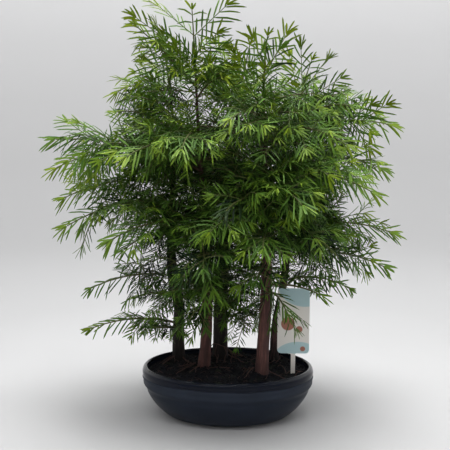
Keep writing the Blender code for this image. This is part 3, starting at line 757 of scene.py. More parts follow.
def bark_relief(angle, height, seed):
    """Long ridges, fine grain and loose flakes at angles round a trunk and heights up it, up to 1."""
    places = np.stack([np.cos(angle) * 1.6, np.sin(angle) * 1.6, height / (38 * MM)], -1).reshape(-1, 3)
    ridge = 1 - np.abs(value_noise(places, 1.5, 40 + seed)).reshape(angle.shape)
    fine = value_noise(places * (3, 3, 2.4), 1.7, 80 + seed).reshape(angle.shape)
    flake = np.clip(value_noise(places * (1, 1, 3.4), 1.3, 120 + seed).reshape(angle.shape), -1, 1)
    return np.clip(ridge * 0.75 + fine * 0.16 + flake * 0.2, -0.6, 1)


def make_trunk(name, tree, settings, material):
    """Furrowed bark on a trunk that flares into lobes where its roots enter the soil."""
    seed = sorted(TREES).index(name)
    full = tree["radius"] * MM
    start = np.array(tree["line"][0], dtype=float)
    line = smooth_line(np.vstack([start - (0, 0, BURIED / MM), tree["line"]]) * MM, settings.ring)
    heights, sides = line[:, 2], settings.sides
    _, side, above = frames_along(line, FRONT)
    angle, height = np.meshgrid(turns_of(sides), heights)
    above_soil = np.maximum(height - start[2] * MM, 0)
    relief = bark_relief(angle, height, seed)
    radius = np.repeat(trunk_radius(tree, heights)[:, None], sides, axis=1)
    thin = np.clip(radius / full, 0.35, 1)
    lobes = np.cos(angle * 5 + seed + np.sin(angle + seed)) * 0.5 + np.cos(angle * 3 - seed) * 0.35
    lobe_size = full * 0.16 * np.exp(-above_soil / (9 * MM))
    swell = np.sin(height * 95 + seed * 2 + np.cos(angle)) * 0.02 + np.cos(angle * 2 + height * 40) * 0.025
    radius = radius * (1 + swell) + (relief - 0.75) * settings.furrow * thin + lobes * lobe_size
    ring = side[:, None] * np.cos(angle)[..., None] + above[:, None] * np.sin(angle)[..., None]
    body = (line[:, None] + ring * radius[..., None]).reshape(-1, 3)
    # Damp bark and painted shade at the foot, and painted shade from the crown higher up
    dark = 0.55 * np.exp(-above_soil / (11 * MM)) + 0.75 * np.clip((height - 215 * MM) / (60 * MM), 0, 1)
    groove = np.concatenate([np.clip(0.9 - relief + dark, 0, 1).reshape(-1), [0, 0]])
    piece = mesh_piece("bark_" + name, np.vstack([body, line[0], line[-1]]), ring_faces(len(line), sides),
                       [material], {"groove": groove})
    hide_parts("trunk_" + name)


class FOREST_OT_trunks(bpy.types.Operator):
    """Build the bark of the five trunks"""
    bl_idname = "forest.trunks"
    bl_label = "Trunks"

    def execute(self, context):
        settings = context.scene.forest_trunks
        finishes = {"red_bark": bark_finish("red_bark", settings.red, settings.red_groove),
                    "dark_bark": bark_finish("dark_bark", settings.dark, settings.dark_groove)}
        brown = bark_finish("brown_bark", settings.brown, settings.dark_groove)
        for name, tree in TREES.items():
            make_trunk(name, tree, settings, brown if name == "right_back" else finishes[tree["bark"]])
        return {"FINISHED"}


# Foliage


def bezier(root, middle, tip, steps):
    t = np.linspace(0, 1, steps + 1)[:, None]
    return root * (1 - t) ** 2 + middle * 2 * t * (1 - t) + tip * t ** 2


def bough_line(tree, height, tip, arch):
    root, tip = trunk_point(tree, height * MM), np.array(tip) * MM
    return bezier(root, (root + tip) / 2 + UP * 2 * arch * MM, tip, 24)


def leader_line(tree):
    top, tip = np.array(tree["line"][-1]) * MM, np.array(tree["leader"]) * MM
    lean = unit(top - trunk_point(tree, top[2] - 20 * MM))
    return bezier(top, top + lean * np.linalg.norm(tip - top) / 2, tip, 16)


def blade_template(stations):
    """One needle along X with rings at (place, width): flat above, keeled below, pointed at both ends."""
    points = [(0, 0, 0)]
    for along, width in stations:
        points += [(along, -width / 2, 0), (along, width / 2, 0), (along, 0, -width)]
    points.append((1, 0, 0))
    faces = [(0, 2, 1), (0, 3, 2), (0, 1, 3)]
    for ring in range(len(stations) - 1):
        a, b = 1 + ring * 3, 4 + ring * 3
        for i, j in ((0, 1), (1, 2), (2, 0)):
            faces += [(a + i, a + j, b + j), (a + i, b + j, b + i)]
    a, tip = 1 + (len(stations) - 1) * 3, len(points) - 1
    faces += [(a, a + 1, tip), (a + 1, a + 2, tip), (a + 2, a, tip)]
    return np.array(points, dtype=float), np.array(faces)


SMALL_BLADE = blade_template([(0.45, 1.15)])
PLAIN_BLADE = blade_template([(0.22, 0.9), (0.74, 0.95)])
CURVED_BLADE = blade_template([(0.13, 0.75), (0.48, 1.0), (0.84, 0.85)])
# Needles at the end of a shoot, as shares ahead, beside and over; short shoots have the first three
TUFT = np.array([(1.0, 0, 0), (0.85, 0.42, 0.1), (0.85, -0.42, 0.1), (0.9, 0.12, 0.42), (0.82, 0.4, -0.25),
                 (0.82, -0.4, -0.25)])


def blades(template, base, reach, above, length, width, thick, bend, sag):
    """Many needles at once: each is the template laid along reach, bent away from above and sagging."""
    across = unit(np.cross(reach, above))
    above = np.cross(across, reach)
    blade, blade_faces = template
    t, w, h = blade.T
    points = base[:, None] + reach[:, None] * (length[:, None] * t)[..., None]
    points = points + across[:, None] * (width[:, None] * w)[..., None]
    drop = thick * h[None] - (bend * length)[:, None] * t[None] ** 2
    points = points + above[:, None] * drop[..., None]
    points = points - UP * ((sag * length)[:, None] * t[None] ** 2)[..., None]
    faces = blade_faces[None] + (np.arange(len(base)) * len(blade))[:, None, None]
    return points.reshape(-1, 3), faces.reshape(-1, 3)


def outward(point):
    """How far out in the crown a point is: 0 at the trunks, about 1 at the tips."""
    return min(math.hypot(point[0] / CROWN_WIDE, (point[1] - CROWN_MIDDLE) / CROWN_DEEP), 1.1)


def in_label(base, ends, before_too=True):
    """True for the needles that would pass through the plant label or hide it from the front."""
    hit = np.zeros(len(base), dtype=bool)
    for t in (0.0, 0.35, 0.7, 1.0):
        x, y, z = (base + (ends - base) * t).T
        before = np.maximum(LABEL_LOW[1] - y, 0)
        hit |= ((x > LABEL_LOW[0] - 1 * MM) & (x < LABEL_HIGH[0] + 1 * MM)
                & (z < LABEL_HIGH[2] + 1 * MM + before * 0.27) & (y < LABEL_HIGH[1] + 2 * MM)
                & (before_too | (before < 2 * MM)))
    return hit


def blocked(line, start):
    """Whether a twig runs into a trunk after its first points, or into the label or before it."""
    return inside_trunks(line[start:], 1 * MM).any() or in_label(line[:-1], line[1:]).any()


class Spray:
    """One bough or leader in the making: its shapes, its random draws and how strongly it grows."""

    def __init__(self, settings, seed):
        self.settings = settings
        self.rng = np.random.default_rng(seed)
        self.vigour = self.rng.uniform(0, 1)
        self.mass = Mass()

    def youth_and_light_at(self, point, strength=1.0):
        """How young a shoot is, with painted light and shade: lighter the farther out and the higher its tip,
        darker deep in the crown, and by chance.
        """
        high = share_between(point[2], 150 * MM, 330 * MM)
        aside = min(math.hypot(point[0] / CROWN_WIDE, (point[1] - CROWN_MIDDLE) / (230 * MM)), 1)
        depth = max(outward(point), (point[2] - UPPER_FROM) / UPPER_REACH, (240 * MM - point[2]) / (110 * MM))
        youth = 0.05 + 0.22 * share_between(point[2], 210 * MM, -60 * MM)
        # Young growth, and painted light that is brighter high up and out at the crown's sides
        youth = youth + 0.16 * aside ** 2 + 0.64 * high ** 1.5 + 0.34 * (self.vigour * strength)
        youth += self.rng.normal(0, 0.18)
        # Painted shade: darker deep inside the crown
        youth *= min(0.08 + 1.2 * depth, 1)
        return min(max(youth, 0), 0.36 + 0.64 * max(aside, high) ** 2.5)

    def add_stem(self, line, radii, up, sides, youth):
        vertices, faces = tube(line, np.linspace(radii[0], radii[1], len(line)), up, sides)
        self.mass.add(vertices, faces, 1, youth=youth, tint=0.5)

    def add_wood(self, line, start, radii, up):
        """The woody stem of a bough or leader from start on, greener to its tip."""
        runs = run_lengths(line)
        wood = at_runs(line, runs, np.linspace(start, runs[-1], 30))
        self.add_stem(wood, radii, up, 7, np.linspace(0.05, 0.5, len(wood) * 7 + 2))

    def add_needles(self, line, up, start, youth, droop, plume=False, placed=False):
        """Needle pairs along a shoot and the tuft at its end, longer and wider apart at the crown's edge.

        On a plume they are longer still and lie closer to the shoot. Placed ones may hang before the label.
        """
        settings, rng = self.settings, self.rng
        runs = run_lengths(line)
        total = runs[-1]
        upper = share_between(line[-1, 2], UPPER_FROM, UPPER_REACH)
        edge = min(max(outward(line[-1]), upper), 1)
        high = share_between(line[-1, 2], 90 * MM, 100 * MM)
        growth = (0.62 + 0.38 * edge ** 1.4) * (0.72 + 0.28 * high) * (1.22 if plume else 1)
        pitch = settings.pitch * (0.56 + 0.44 * edge) * (0.85 + 0.15 * high) * (1.18 if plume else 1)
        places = np.arange(start, total - 0.5 * MM, pitch)
        if not len(places):
            return
        places = np.repeat(places, 2) + rng.uniform(-0.8, 0.8, len(places) * 2) * MM
        sides = np.tile((-1.0, 1.0), len(places) // 2)
        share = np.clip(places / total, 0, 1)
        directions = frames_along(line, up)
        base = at_runs(line, runs, places)
        ahead, beside, over = (unit(at_runs(d, runs, places)) for d in directions)
        spread, closing = (48, 26) if plume else (66, 32)
        turn = np.radians(spread - closing * share ** 1.5 + rng.normal(0, 8, len(share)))
        length = settings.length * (0.62 + 0.4 * np.sin(math.pi * np.clip(0.16 + 0.74 * share, 0, 1)))
        length *= rng.uniform(0.84, 1.08, len(share)) * growth
        fall = droop + rng.normal(0, 0.12, len(share))
        reach = (ahead * np.cos(turn)[:, None] + beside * (sides * np.sin(turn))[:, None]
                 - over * (fall * (1 - 0.4 * share))[:, None])
        tuft = TUFT[:6 if edge > 0.7 else 3] @ np.stack([way[-1] for way in directions])
        base = np.vstack([base, np.repeat(line[-1:], len(tuft), 0)])
        reach = unit(np.vstack([reach, tuft]))
        over = np.vstack([over, np.repeat(directions[2][-1:], len(tuft), 0)])
        length = np.concatenate([length, settings.length * growth * rng.uniform(0.4, 0.75, len(tuft))])
        share = np.concatenate([share, np.ones(len(tuft))])
        ends, middles = (base + reach * (length * part)[:, None] for part in (1.0, 0.6))
        keep = ~(inside_trunks(ends) | inside_trunks(middles) | in_label(base, ends, not placed))
        base, reach, over, length, share = (v[keep] for v in (base, reach, over, length, share))
        count = len(base)
        if not count:
            return
        width = settings.width * (0.66 + 0.34 * edge) * (1.2 if plume else 1 + 0.1 * upper)
        width = width * rng.uniform(0.8, 1.1, count)
        bend = np.clip(rng.normal(0.08, 0.12, count), -0.16, 0.34)
        sag = np.clip(rng.normal(0.22 + 0.12 * upper, 0.12, count), -0.05, 0.55) * (0.4 + 0.6 * edge)
        sag *= 0.6 if plume else 1
        template = CURVED_BLADE if edge > 0.74 else PLAIN_BLADE if edge > 0.5 else SMALL_BLADE
        vertices, faces = blades(template, base, reach, over, length, width, settings.thick, bend, sag)
        # Young needles at a shoot's tip, and painted shade towards its base
        age_and_light = youth * (0.4 + 0.8 * share ** 2.4) + 0.1 * share ** 3 + rng.normal(0, 0.05, count)
        points = len(template[0])
        self.mass.add(vertices, faces, 0, youth=np.repeat(np.clip(age_and_light, 0, 1), points),
                      tint=np.repeat(rng.uniform(0, 1, count), points))

    def add_shoot(self, point, way, over, full, youth, placed=False):
        """One green shoot with its needles; nothing where it would run into a trunk or the label."""
        rng = self.rng
        sag = 0 if placed else full * rng.uniform(0.03, 0.2)
        tip = point + way * full - UP * sag
        shoot = bezier(point, point + way * full * 0.5 + UP * sag * 0.6, tip, 6)
        if not placed and blocked(shoot, 2):
            return
        roll = rng.normal(0, 0.45)
        aside = 0.25 + 0.75 * min(abs(tip[0]) / (150 * MM), 1)
        over = unit(over + FRONT * max(outward(tip) - 0.4, 0) * aside * rng.uniform(0.4, 3.2))
        local_up = unit(over * math.cos(roll) + np.cross(way, over) * math.sin(roll))
        self.add_stem(shoot, (0.75 * MM, 0.42 * MM), local_up, 4, 0.3 + 0.4 * youth)
        self.add_needles(shoot, local_up, 4 * MM, youth, rng.uniform(-0.45, 0.4), placed, placed)

    def add_side_shoots(self, line, reach, fullness):
        """Side shoots in pairs along a bough, and smaller ones that rise and hang between them."""
        rng = self.rng
        runs = run_lengths(line)
        total = runs[-1]
        directions = frames_along(line, UP)
        bare_end = (24 if fullness > 0.9 else 12) * MM
        run = reach + 6 * MM
        while run < (total - bare_end) * (0.3 + 0.7 * fullness):
            for side in (-1, 1, 0):
                if not side and (fullness < 0.6 or run > total * 0.66):
                    continue
                here = run + rng.uniform(-2, 2) * MM + side * 3 * MM
                share = min(max(here / total, 0), 1)
                point = at_runs(line, runs, here)
                ahead, beside, over = (unit(at_runs(d, runs, here)) for d in directions)
                full = shoot_length(share, total) * rng.uniform(0.8, 1.06) * (0.5 + 0.5 * fullness)
                angle = math.radians(52 + rng.uniform(-10, 8)) - 0.12 * share
                if side:
                    full = min(full, (total - here) * 1.1 + 10 * MM)
                    lift = rng.normal(0.06, 0.38)
                    way = unit(ahead * math.cos(angle) + beside * side * math.sin(angle) + over * lift)
                else:
                    lift = rng.choice((1.0, 1.0, -0.8)) * rng.uniform(0.7, 1.3)
                    way = unit(ahead * rng.uniform(0.5, 1.1) + over * lift + beside * rng.uniform(-0.5, 0.5))
                    full = min(full * 0.85, 44 * MM)
                self.add_shoot(point, way, over, full, self.youth_and_light_at(point + way * full))
            sparse = max(outward(point) - 0.5, 0) * 2.8
            run += self.settings.station * (0.7 + 0.4 * run / total + sparse
                                            + (0.4 if line[0, 2] > LOOSE_FROM else 0))

    def add_placed_shoots(self, line, up, tips):
        """Side shoots with places of their own: each starts at a share of the line and has its own tip."""
        runs = run_lengths(line)
        over = frames_along(line, up)[2][0]
        for share, tip in tips:
            point, tip = at_runs(line, runs, share * runs[-1]), np.array(tip) * MM
            full = float(np.linalg.norm(tip - point))
            self.add_shoot(point, (tip - point) / full, over, full, self.youth_and_light_at(tip), True)

    def add_crown_shoots(self, line, up):
        """Small shoots all round the foot of a leader."""
        rng = self.rng
        runs = run_lengths(line)
        over = frames_along(line, up)[2][0]
        for nth in range(4):
            point = at_runs(line, runs, (0.02 + 0.09 * nth) * runs[-1])
            turn = nth * 2.4 + rng.uniform(-0.3, 0.3)
            way = unit(np.array((math.cos(turn), math.sin(turn), rng.uniform(0.4, 0.9))))
            full = rng.uniform(34, 50) * MM
            self.add_shoot(point, way, over, full, self.youth_and_light_at(point + way * full))

    def add_trunk_shoots(self, tree, bough, fullness):
        """Short leafy twigs straight from the trunk, which fill the crown round the root of a bough."""
        rng = self.rng
        height = bough[0, 2] / MM
        heading = math.atan2(bough[-1, 1] - bough[0, 1], bough[-1, 0] - bough[0, 0])
        share = 0.65 if height > TWIGGY[1] or fullness < 0.5 else 1.15
        if TWIGGY[0] < height < TWIGGY[1]:
            fullness = max(fullness, 0.9)
        for _ in range(round(self.settings.fill * fullness * share)):
            start = height * MM + rng.uniform(-30, 34) * MM
            if not tree["bare"] * MM < start < tree["line"][-1][2] * MM:
                continue
            turn = heading + rng.uniform(-2.2, 2.2)
            out = np.array((math.cos(turn), math.sin(turn), 0))
            root = trunk_point(tree, start)
            bark = out * float(trunk_radius(tree, np.array(start)))
            full = rng.uniform(42, 78) * MM
            way = unit(out + UP * rng.uniform(-0.1, 0.85))
            line = bezier(root + bark * 0.6, root + bark + way * full * 0.5 + UP * 4 * MM,
                          root + bark + way * full - UP * rng.uniform(0, 8) * MM, 12)
            if blocked(line, 4):
                continue
            self.add_stem(line, (0.95 * MM, 0.5 * MM), UP, 4, 0.25)
            runs = run_lengths(line)
            directions = frames_along(line, UP)
            for place in (0.3, 0.52, 0.74):
                for side in (-1, 1):
                    here = runs[-1] * (place + rng.uniform(-0.06, 0.06))
                    ahead, beside, over = (unit(at_runs(d, runs, here)) for d in directions)
                    side_way = unit(ahead * 0.62 + beside * side * 0.75 + over * rng.normal(0.1, 0.4))
                    side_full = rng.uniform(22, 38) * MM
                    self.add_shoot(at_runs(line, runs, here), side_way, over, side_full,
                                   self.youth_and_light_at(line[-1], 0.5))
            self.add_needles(line[4:], UP, 3 * MM, self.youth_and_light_at(line[-1], 0.5), rng.uniform(0, 0.5))

    def add_lead(self, line, up, share, droop, plume=False, placed=False):
        """The needles on the bough or leader itself, from a share of its length on."""
        runs = run_lengths(line)
        lead = at_runs(line, runs, np.linspace(runs[-1] * share, runs[-1], 20))
        self.add_needles(lead, up, 2 * MM, self.youth_and_light_at(line[-1]), droop, plume, placed)

    def lay_over(self, title, materials):
        """Make the piece and let it replace the plain solid that stands for the spray."""
        piece = self.mass.piece("needles_" + title, materials, "needles", sharp=38)
        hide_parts(title)


def shoot_length(share, length):
    """Length of a side shoot by its place on the bough, as the frame has it there."""
    return min(max(0.36 * length * (1.3 - 0.85 * share) + 7 * MM, 22 * MM), 58 * MM)


def make_bough(title, tree, bough, settings, seed, materials):
    """One bough: its stem, its side shoots, the twigs round its root and all their needles."""
    height, tip, arch, fullness = (*bough, 1.0)[:4]
    line = bough_line(tree, height, tip, arch)
    reach = float(trunk_radius(tree, np.array(height * MM))) + 3 * MM
    thick = (1.15 if line[0, 2] > THIN_FROM else 1.7) * MM
    spray = Spray(settings, seed)
    spray.add_wood(line, reach * 0.4, (thick, 0.7 * MM), UP)
    spray.add_placed_shoots(line, UP, PLUMES.get(title, []))
    spray.add_side_shoots(line, reach, fullness)
    spray.add_lead(line, unit(UP * 0.7 + FRONT), 0.35 * fullness, 0.15 + 0.3 * (1 - fullness), True,
                   title == BEFORE_LABEL)
    spray.add_trunk_shoots(tree, line, fullness)
    spray.lay_over(title, materials)


def make_leader(title, tree, settings, seed, materials):
    """The growing top of one tree, with shoots in places of their own and small ones round its foot."""
    line, up = leader_line(tree), unit(np.array((0, -1, 0.2)))
    spray = Spray(settings, seed)
    spray.add_wood(line, 0, (1.5 * MM, 0.6 * MM), up)
    spray.add_placed_shoots(line, up, tree["crown"])
    spray.add_crown_shoots(line, up)
    spray.add_lead(line, up, 0.8, 0.15)
    spray.lay_over(title, materials)


class FOREST_OT_foliage(bpy.types.Operator):
    """Build the needles and twigs of every bough and leader"""
    bl_idname = "forest.foliage"
    bl_label = "Foliage"

    def execute(self, context):
        settings = context.scene.forest_needles
        materials = [needle_finish(settings), twig_finish(settings)]
        seeds = itertools.count(100)
        for name, tree in TREES.items():
            for number, bough in enumerate(tree["boughs"], 1):
                make_bough("bough_%s_%d" % (name, number), tree, bough, settings, next(seeds), materials)
            make_leader("leader_" + name, tree, settings, next(seeds), materials)
        return {"FINISHED"}


# Tray


def bowl_radius(height):
    """Outer half length of the bowl at a height above its underside."""
    share = share_between(height, 0, BELLY_HEIGHT)
    return FOOT_RADIUS + (TRAY_HIGH[0] - FOOT_RADIUS) * (1 - (1 - share) ** 1.9) ** 0.72


def turned(profile, steps):
    """A closed body from a profile of (radius, height) points, narrowed to the tray's oval."""
    narrow = TRAY_HIGH[1] / TRAY_HIGH[0]
    profile = np.asarray(profile)
    turns = turns_of(steps)
    rings = profile[1:-1]
    body = np.stack([rings[:, None, 0] * np.cos(turns), rings[:, None, 0] * np.sin(turns) * narrow,
                     np.repeat(rings[:, 1:], steps, 1)], -1).reshape(-1, 3)
    vertices = np.vstack([body, (0, 0, profile[0, 1]), (0, 0, profile[-1, 1])])
    return vertices, ring_faces(len(rings), steps)


def drill(piece, places, radius, low, high):
    """Cut round holes through a piece and keep the result as its mesh."""
    cutters = []
    for x, y in places:
        shape = bmesh.new()
        bmesh.ops.create_cone(shape, cap_ends=True, segments=48, radius1=radius, radius2=radius,
                              depth=high - low)
        bmesh.ops.translate(shape, verts=shape.verts, vec=(x, y, (low + high) / 2))
        mesh = bpy.data.meshes.new("drill")
        shape.to_mesh(mesh)
        shape.free()
        cutters.append(show("drill", mesh))
        hole = piece.modifiers.new("Hole", "BOOLEAN")
        hole.object = cutters[-1]
        hole.solver = "EXACT"
    bpy.context.view_layer.update()
    cut = bpy.data.meshes.new_from_object(piece.evaluated_get(bpy.context.evaluated_depsgraph_get()))
    piece.modifiers.clear()
    piece.data = cut
    for cutter in cutters:
        bpy.data.objects.remove(cutter)


def tray_profile(settings):
    """The tray's cross-section as (radius, height), from the floor over the lip to the underside."""
    rim, top, edge = TRAY_HIGH[0], TRAY_HIGH[2], settings.wet_line
    floor = [(radius, settings.floor) for radius in (0, FLOOR_RADIUS - 12 * MM, FLOOR_RADIUS)]
    inner = [(bowl_radius(z * MM) - settings.wall, z * MM) for z in (12, 20, 29, 38, 46, 53)]
    lip = [(rim - inward * MM, top - down * MM) for inward, down in LIP]
    step = [(rim - inward * MM, edge + above * MM) for inward, above in GLAZE_STEP]
    outer = []
    for z in np.arange(49, 3.9, -1.5):
        fold = sum(size * math.exp(-((z - middle) / 3.0) ** 2) for size, middle in FOLDS)
        outer.append((bowl_radius(z * MM) + fold * MM, z * MM))
    foot = [(FOOT_RADIUS + 0.6 * MM, 2.4 * MM), (FOOT_RADIUS - 1.4 * MM, 1.2 * MM),
            (FOOT_RADIUS - 4 * MM, 0.5 * MM), (FLAT_RADIUS + 1 * MM, 0.1 * MM), (FLAT_RADIUS, 0),
            (FLAT_RADIUS - 20 * MM, 0), (0, 0)]
    return floor + inner + lip + step + outer + foot


class FOREST_OT_tray(bpy.types.Operator):
    """Build the glazed tray"""
    bl_idname = "forest.tray"
    bl_label = "Tray"

    def execute(self, context):
        settings = context.scene.forest_tray
        rim, top, edge = TRAY_HIGH[0], TRAY_HIGH[2], settings.wet_line
        vertices, faces = turned(tray_profile(settings), settings.steps)
        x, y = vertices[:, 0], vertices[:, 1]
        angle = np.arctan2(y, x)
        outside = np.hypot(x, y * rim / TRAY_HIGH[1]) > rim - 2.2 * MM
        # The glaze ran a little, so its lower edge winds
        run = edge + 0.6 * MM * np.sin(angle * 3 + 1) + 0.3 * MM * np.sin(angle * 11)
        vertices[:, 2] += np.where(np.abs(vertices[:, 2] - edge) < 1.6 * MM, run - edge, 0) * outside
        z = vertices[:, 2]
        inside = np.clip((z - top + 6 * MM) / (4 * MM), 0.25, 1)
        inside = inside * (z > settings.floor - 1 * MM)
        wet = np.where(outside, np.clip((z - run) / (0.4 * MM) + 0.5, 0, 1), inside)
        # A clear coat on the roll of the lip, with a painted sheen in the glaze's colour, both stronger
        # towards the two ends
        coat_and_painted_sheen = wet * (0.2 + 0.8 * np.clip((np.abs(x) / rim - 0.5) / 0.4, 0, 1) ** 2)
        coat_and_painted_sheen *= np.clip((z - top + 4.4 * MM) / (1.8 * MM), 0.05, 1)
        tray = mesh_piece("glazed_tray", vertices, faces, [glaze_finish(settings)],
                          {"wet": wet, "coat_and_painted_sheen": coat_and_painted_sheen}, 50)
        drill(tray, ((-DRAIN_X, 0), (DRAIN_X, 0)), DRAIN_RADIUS, -5 * MM, 20 * MM)
        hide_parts("tray")
        return {"FINISHED"}


# Soil


def soil_height(x, y, settings):
    """Height of the soil's surface: a low mound, hollows, and the heaps against the trunks."""
    reach = np.hypot(x / TRAY_HIGH[0], y / TRAY_HIGH[1])
    height = settings.top + settings.mound * (1 - reach ** 2)
    waves = np.sin(x * 95 + 1.3) * np.cos(y * 120 - 0.4) + 0.6 * np.sin(x * 210 + y * 170)
    height = height + 1.1 * MM * waves * (1 - reach ** 4)
    points = np.stack([x, y, np.zeros_like(x)], -1).reshape(-1, 3)
    rough = value_noise(points, 260, 7).reshape(np.shape(x))
    height = height + 0.7 * MM * rough * np.clip((1 - reach) * 8, 0, 1)
    for tree in TREES.values():
        root = np.array(tree["line"][0]) * MM
        away = np.hypot(x - root[0], y - root[1])
        height = height + 2.2 * MM * np.exp(-(away / (tree["radius"] * 2.1 * MM)) ** 2)
    return height


def crumb_shapes(rng, places, sizes, flat):
    """Small angular crumbs, each a squashed and dented ball; gives the points of one crumb too."""
    shape = bmesh.new()
    bmesh.ops.create_icosphere(shape, subdivisions=1, radius=1)
    ball = np.array([v.co[:] for v in shape.verts])
    faces = np.array([[v.index for v in f.verts] for f in shape.faces])
    shape.free()
    count = len(places)
    dents = rng.uniform(0.72, 1.22, (count, len(ball), 1))
    stretch = rng.uniform(0.65, 1.35, (count, 1, 3)) * (1, 1, flat)
    points = ball[None] * dents * stretch * sizes[:, None, None]
    turn = rng.uniform(0, 2 * math.pi, count)
    c, s = np.cos(turn)[:, None], np.sin(turn)[:, None]
    x, y = points[..., 0] * c - points[..., 1] * s, points[..., 0] * s + points[..., 1] * c
    points = np.stack([x, y, points[..., 2]], -1) + places[:, None]
    all_faces = faces[None] + (np.arange(count) * len(ball))[:, None, None]
    return points.reshape(-1, 3), all_faces.reshape(-1, 3), len(ball)


def soil_spots(rng, count, tray, limit):
    """Seeded places on the soil, out to a limit that is the square of the share of its radius."""
    turn, reach = rng.uniform(0, 2 * math.pi, count), np.sqrt(rng.uniform(0, limit, count))
    return (reach * np.cos(turn) * (TRAY_HIGH[0] - tray.wall),
            reach * np.sin(turn) * (TRAY_HIGH[1] - tray.wall))


class FOREST_OT_soil(bpy.types.Operator):
    """Build the soil with its crumbs and moss"""
    bl_idname = "forest.soil"
    bl_label = "Soil"

    def execute(self, context):
        settings, tray = context.scene.forest_soil, context.scene.forest_tray
        rng = np.random.default_rng(11)
        edge = TRAY_HIGH[0] - 7.1 * MM
        top = [(edge * share, settings.top) for share in np.linspace(0, 1, 56)]
        wall = [(bowl_radius(z * MM) - tray.wall - SOIL_GAP, z * MM) for z in (50, 46, 38, 29, 20, 14)]
        base = [(FLOOR_RADIUS - 1 * MM, tray.floor + SOIL_GAP), (0, tray.floor + SOIL_GAP)]
        vertices, faces = turned(top + wall + base, 150)
        surface = vertices[:, 2] > settings.top - 0.5 * MM
        x, y = vertices[surface, 0], vertices[surface, 1]
        reach = np.hypot(x / edge, y / (edge * TRAY_HIGH[1] / TRAY_HIGH[0]))
        vertices[surface, 2] = soil_height(x, y, settings) - np.clip((reach - 0.97) / 0.03, 0, 1) * 1.2 * MM
        mass = Mass()
        dry = np.clip(value_noise(vertices, 300, 3) * 0.25 + 0.1, 0, 0.5)
        mass.add(vertices, faces[:, ::-1], dry=dry)
        x, y = soil_spots(rng, settings.crumbs, tray, 0.9)
        sizes = rng.lognormal(-0.15, 0.42, len(x)) * 1.05 * MM
        places = np.stack([x, y, soil_height(x, y, settings) + sizes * 0.18], -1)
        clear = ~inside_trunks(places, 0.5 * MM)
        vertices, faces, each = crumb_shapes(rng, places[clear], sizes[clear], 0.75)
        mass.add(vertices, faces, dry=np.repeat(rng.beta(0.8, 2.6, clear.sum()), each))
        soil = mass.piece("soil_surface", [soil_finish(settings)], "soil", sharp=60)
        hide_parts("soil")
        self.moss(settings, tray, rng)
        return {"FINISHED"}

    def moss(self, settings, tray, rng):
        """Low tufts of moss and liverwort here and there on the soil."""
        x, y = soil_spots(rng, settings.moss, tray, 0.72)
        sizes = rng.uniform(2.2, 5.5, len(x)) * MM
        mass = Mass()
        for px, py, size in zip(x, y, sizes):
            if inside_trunks(np.array([(px, py, settings.top)]), 1.5 * MM)[0]:
                continue
            spots = np.array((px, py)) + rng.normal(0, 0.42, (TUFT_CRUMBS, 2)) * size
            places = np.column_stack([spots, soil_height(spots[:, 0], spots[:, 1], settings)])
            vertices, faces, _ = crumb_shapes(rng, places, rng.uniform(0.22, 0.4, TUFT_CRUMBS) * size, 0.6)
            mass.add(vertices, faces)
        mass.piece("moss_tufts", [moss_finish()], "soil", sharp=70)


# Surface roots

# Roots that arch from one trunk's foot over the soil, and the ends that hang from them, in millimetres
ARCHING_ROOTS = [
    [(-24, 10, 84), (-18, 16, 87), (-8, 20, 83), (2, 26, 76), (8, 34, 66), (9, 40, 57)],
    [(-15, 17, 85), (-17, 18, 74), (-15, 15, 65), (-17, 12, 58)],
    [(-6, 21, 82), (-3, 22, 73), (-5, 20, 65), (-2, 18, 58)],
    [(0, 25, 77), (5, 23, 71), (3, 21, 64), (4, 17, 58)],
    [(-36, -16, 60), (-28, -11, 62), (-14, -6, 62.5), (2, -6, 62), (16, -9, 60)],
    [(-65, -27, 59), (-57, -17, 62), (-49, -4, 62), (-40, 2, 60)],
    [(63, 6, 60), (67, 0, 65), (72, -10, 64), (75, -21, 59)],
    [(88, -8, 58), (92, -17, 62), (88, -23, 63), (84, -27, 58)],
    [(96, -4, 58), (90, -12, 61), (80, -14, 62), (72, -22, 59)],
    [(-72, 30, 66), (-79, 22, 63), (-85, 12, 60), (-89, 4, 57)],
]


